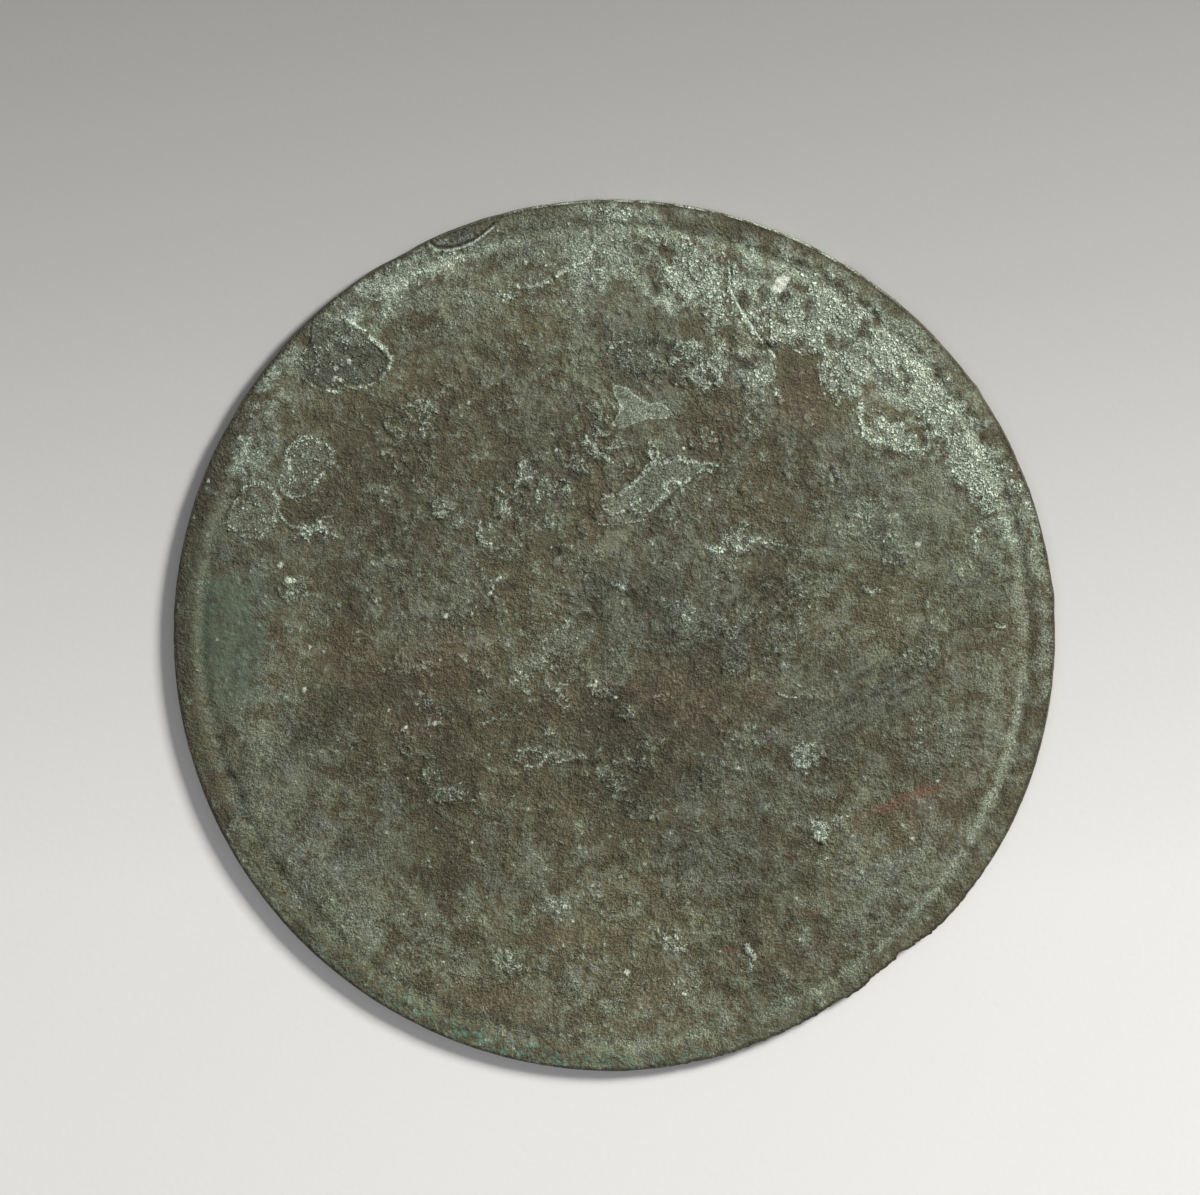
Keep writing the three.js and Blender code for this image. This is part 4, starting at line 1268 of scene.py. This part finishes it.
def grain_group():
    """Round grains of the crust as heights from 0 to 1: domes at random points, each with a random rank, which
    stand where the share of cover passes their rank, so that they thin out towards the border of a crust."""
    tree, given, out = new_group("crust_grains", PLACE + numbers("Cover"), numbers("Dome"))
    bend = node(tree, "ShaderNodeTexNoise", {"Vector": given["Place"], "Scale": 1.5, "Detail": 1})
    place = node(tree, "ShaderNodeVectorMath", {0: bend.outputs["Color"], 1: (0.8, 0.8, 0.8), 2: given["Place"]},
                 operation="MULTIPLY_ADD").outputs[0]
    gaps = swing(tree, noise(tree, given["Place"], 0.42, 2, 0.6), 3.2)
    standing = maths(tree, "ADD", given["Cover"], gaps)
    total = 0.0
    for scale, reach, strength in GRAIN_SIZES:
        cell = node(tree, "ShaderNodeTexVoronoi", {"Vector": place, "Scale": scale, "Randomness": 1.0})
        own = node(tree, "ShaderNodeSeparateColor", {0: cell.outputs["Color"]}).outputs
        share = maths(tree, "DIVIDE", cell.outputs["Distance"], reach)
        dome = node(tree, "ShaderNodeMath", {0: 1.0, 1: product(tree, share, share)}, operation="SUBTRACT",
                    use_clamp=True).outputs[0]
        above = maths(tree, "SUBTRACT", standing, product(tree, own[0], 0.9))
        stands = ranged(tree, above, 0.02, 0.2, curve="SMOOTHSTEP")
        size = maths(tree, "ADD", product(tree, own[1], 0.65), 0.45)
        dome = product(tree, maths(tree, "POWER", dome, 0.75), stands, product(tree, size, strength))
        total = maths(tree, "MAXIMUM", dome, total)
    tree.links.new(product(tree, total, ranged(tree, given["Cover"], 0.0, 0.2)), out["Dome"])
    return tree


def patina_group(crumble, grains_tree):
    """Colour and roughness of the patina from its shares: brown to grey-green ground, darkened and lightened by
    its tone and specks, then pale crust with paler grain tops, partly a painted highlight, teal, turquoise, rust,
    hollows that also hold painted shade, and white grains over it."""
    tree, given, out = new_group(
        "bronze_patina", PLACE + numbers(*(share.capitalize() for share in SHARES)),
        [("Color", "NodeSocketColor")] + numbers("Roughness", "Height"))
    fine = node(tree, "ShaderNodeGroup", node_tree=crumble)
    for part, socket in (("Place", "Place"), ("Grain", "Strength"), ("Lacy", "Plates")):
        tree.links.new(given[part], fine.inputs[socket])
    beads = node(tree, "ShaderNodeGroup", node_tree=grains_tree)
    tree.links.new(given["Place"], beads.inputs["Place"])
    tree.links.new(given["Crust"], beads.inputs["Cover"])
    speck, mottle, dome = fine.outputs["Speck"], fine.outputs["Mottle"], beads.outputs["Dome"]

    green = maths(tree, "ADD", given["Green"], swing(tree, mottle, 1.2))
    hue = noise(tree, given["Place"], 0.27, 4, 0.6)
    browns = mixed(tree, ranged(tree, hue, 0.5, 0.68, 0.0, 0.75), BROWN, OLIVE)
    greys = mixed(tree, ranged(tree, hue, 0.5, 0.34, 0.0, 0.7), GREY_GREEN, BLUE_GREY)
    ground = mixed(tree, ranged(tree, green, 0.0, 1.0, curve="SMOOTHSTEP"), browns, greys)
    contrast = maths(tree, "ADD", product(tree, given["Grain"], 0.6), 0.5)
    light = maths(tree, "ADD", swing(tree, speck, contrast), 1.0)
    light = product(tree, light, given["Tone"])
    shade = node(tree, "ShaderNodeCombineColor", {0: light, 1: light, 2: light}).outputs[0]
    ground = mixed(tree, 1.0, ground, shade, "MULTIPLY")

    pale = maths(tree, "ADD", given["Pale"], swing(tree, speck, 0.5))
    # Grain tops are paler, partly their own colour and partly a painted highlight, and the crust between them a
    # little darker as painted shade.
    pale = maths(tree, "ADD", pale, product(tree, dome, 0.8))
    pale = maths(tree, "SUBTRACT", pale, product(tree, given["Crust"], 0.1))
    pale = maths(tree, "ADD", pale, product(tree, fine.outputs["Lip"], 1.2, mottle))
    covered = ranged(tree, pale, 0.18, 0.85, curve="SMOOTHSTEP")
    crust = mixed(tree, ranged(tree, pale, 0.5, 1.15), PALE_GREEN, PALE_MINT)
    crust = mixed(tree, 0.6, crust, mixed(tree, 1.0, crust, shade, "MULTIPLY"))
    colour = mixed(tree, covered, ground, crust)
    over = maths(tree, "ADD", 0.75, swing(tree, mottle, 1.6))
    for share, tint, much in (("Teal", TEAL, 0.7), ("Turquoise", TURQUOISE, 0.8), ("Rust", RUST, 0.85)):
        colour = mixed(tree, product(tree, given[share], much, over), colour, tint)
    colour = mixed(tree, given["Hollow"], colour, HOLLOW_AND_SHADE_BROWN)
    colour = mixed(tree, given["White"], colour, WHITE)
    rough = maths(tree, "ADD", product(tree, given["Grain"], 0.16), 0.5)
    rough = maths(tree, "ADD", rough, product(tree, covered, 0.15))
    tree.links.new(colour, out["Color"])
    tree.links.new(maths(tree, "ADD", rough, swing(tree, mottle, 0.25)), out["Roughness"])
    tree.links.new(maths(tree, "ADD", fine.outputs["Height"], product(tree, dome, 2.0)), out["Height"])
    return tree


def patina_material(name, group, depth):
    """Corroded bronze: the patina's group fed by the piece's own attributes, with its fine height as a bump."""
    material = bpy.data.materials.new(name)
    material.use_nodes = True
    tree = material.node_tree
    surface = tree.nodes["Principled BSDF"]
    place = node(tree, "ShaderNodeMapping", {"Vector": tree.nodes.new("ShaderNodeTexCoord").outputs["Object"],
                                             "Scale": (1 / METRES,) * 3})
    patina_node = node(tree, "ShaderNodeGroup", node_tree=group)
    tree.links.new(place.outputs[0], patina_node.inputs["Place"])
    for share in SHARES:
        layer = node(tree, "ShaderNodeAttribute", attribute_name=share)
        tree.links.new(layer.outputs["Fac"], patina_node.inputs[share.capitalize()])
    bump = node(tree, "ShaderNodeBump", {"Height": patina_node.outputs["Height"], "Strength": 1.0,
                                         "Distance": depth * METRES})
    tree.links.new(patina_node.outputs["Color"], surface.inputs["Base Color"])
    tree.links.new(patina_node.outputs["Roughness"], surface.inputs["Roughness"])
    tree.links.new(bump.outputs[0], surface.inputs["Normal"])
    surface.inputs["Metallic"].default_value = 0.08
    surface.inputs["Specular IOR Level"].default_value = 0.42
    return material


# Making it

def bronze_mirror():
    group = patina_group(crumble_group(), grain_group())
    face = patina_material("corroded_face", group, FACE_GRAIN_DEPTH)
    back = patina_material("corroded_back_and_edge", group, BACK_GRAIN_DEPTH)
    body = disc_body()
    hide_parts("mirror_disc")
    body.data.materials.append(back)
    pieces = [body]
    for number in range(SECTORS):
        skin = skin_sector(number)
        skin.data.materials.append(face)
        pieces.append(skin)
    for piece in pieces:
        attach(piece, "root")


def paper_floor():
    """A sheet of pale paper under the mirror, with painted shade that darkens its tone towards the photograph's top.
    """
    mesh = bpy.data.meshes.new("paper_floor")
    corners = [(-PAPER_REACH, -PAPER_REACH), (PAPER_REACH, -PAPER_REACH), (PAPER_REACH, PAPER_REACH),
               (-PAPER_REACH, PAPER_REACH)]
    mesh.from_pydata([(x, y, PAPER_LEVEL) for x, y in corners], [], [(0, 1, 2, 3)])
    floor = bpy.data.objects.new("paper_floor", mesh)
    bpy.context.scene.collection.objects.link(floor)
    material = bpy.data.materials.new("pale_paper")
    material.use_nodes = True
    tree = material.node_tree
    surface = tree.nodes["Principled BSDF"]
    place = tree.nodes.new("ShaderNodeTexCoord").outputs["Object"]
    up = node(tree, "ShaderNodeSeparateXYZ", {0: place}).outputs["Y"]
    ramp = node(tree, "ShaderNodeValToRGB", {0: ranged(tree, up, *PAPER_SHADE_FALL)})
    while len(ramp.color_ramp.elements) < len(PAPER_SHADED_TONES):
        ramp.color_ramp.elements.new(0.5)
    for number, (element, light) in enumerate(zip(ramp.color_ramp.elements, PAPER_SHADED_TONES)):
        element.position = number / (len(PAPER_SHADED_TONES) - 1)
        element.color = (light * 1.0, light * 0.985, light * 0.965, 1)
    tree.links.new(ramp.outputs[0], surface.inputs["Base Color"])
    bump = node(tree, "ShaderNodeBump", {"Height": noise(tree, place, 900.0, 3), "Distance": PAPER_FIBRE_DEPTH})
    tree.links.new(bump.outputs[0], surface.inputs["Normal"])
    surface.inputs["Roughness"].default_value = 0.9
    mesh.materials.append(material)


def photograph_camera():
    camera = bpy.data.cameras.new("photograph_camera")
    camera.lens = CAMERA_LENS
    camera.sensor_width = SENSOR_WIDTH
    camera.sensor_fit = "HORIZONTAL"
    camera.clip_end = 10
    holder = bpy.data.objects.new("photograph_camera", camera)
    turn = Matrix((CAMERA_RIGHT, CAMERA_UP, CAMERA_BACKWARD)).transposed()
    holder.matrix_world = Matrix.Translation(CAMERA_PLACE * METRES) @ turn.to_4x4()
    bpy.context.scene.collection.objects.link(holder)
    bpy.context.scene.camera = holder


def area_light(name, bearing, elevation, distance, size, power, tint):
    """A square light that looks at the middle of the mirror from a bearing and an elevation."""
    lamp = bpy.data.lights.new(name, "AREA")
    lamp.size = size
    lamp.energy = power
    lamp.color = tint
    holder = bpy.data.objects.new(name, lamp)
    turn, rise = math.radians(bearing), math.radians(elevation)
    away = Vector((math.cos(rise) * math.cos(turn), math.cos(rise) * math.sin(turn), math.sin(rise)))
    holder.location = away * distance
    holder.rotation_euler = away.to_track_quat("Z", "Y").to_euler()
    bpy.context.scene.collection.objects.link(holder)


def studio_light():
    area_light("key_light", *KEY_LIGHT)
    area_light("overhead_fill", *OVERHEAD_FILL)
    world = bpy.data.worlds.new("studio")
    world.use_nodes = True
    background = world.node_tree.nodes["Background"]
    background.inputs["Color"].default_value = (0.97, 0.985, 1, 1)
    background.inputs["Strength"].default_value = WORLD_STRENGTH
    bpy.context.scene.world = world
    bpy.context.scene.view_settings.view_transform = "Standard"


bronze_mirror()
paper_floor()
photograph_camera()
studio_light()
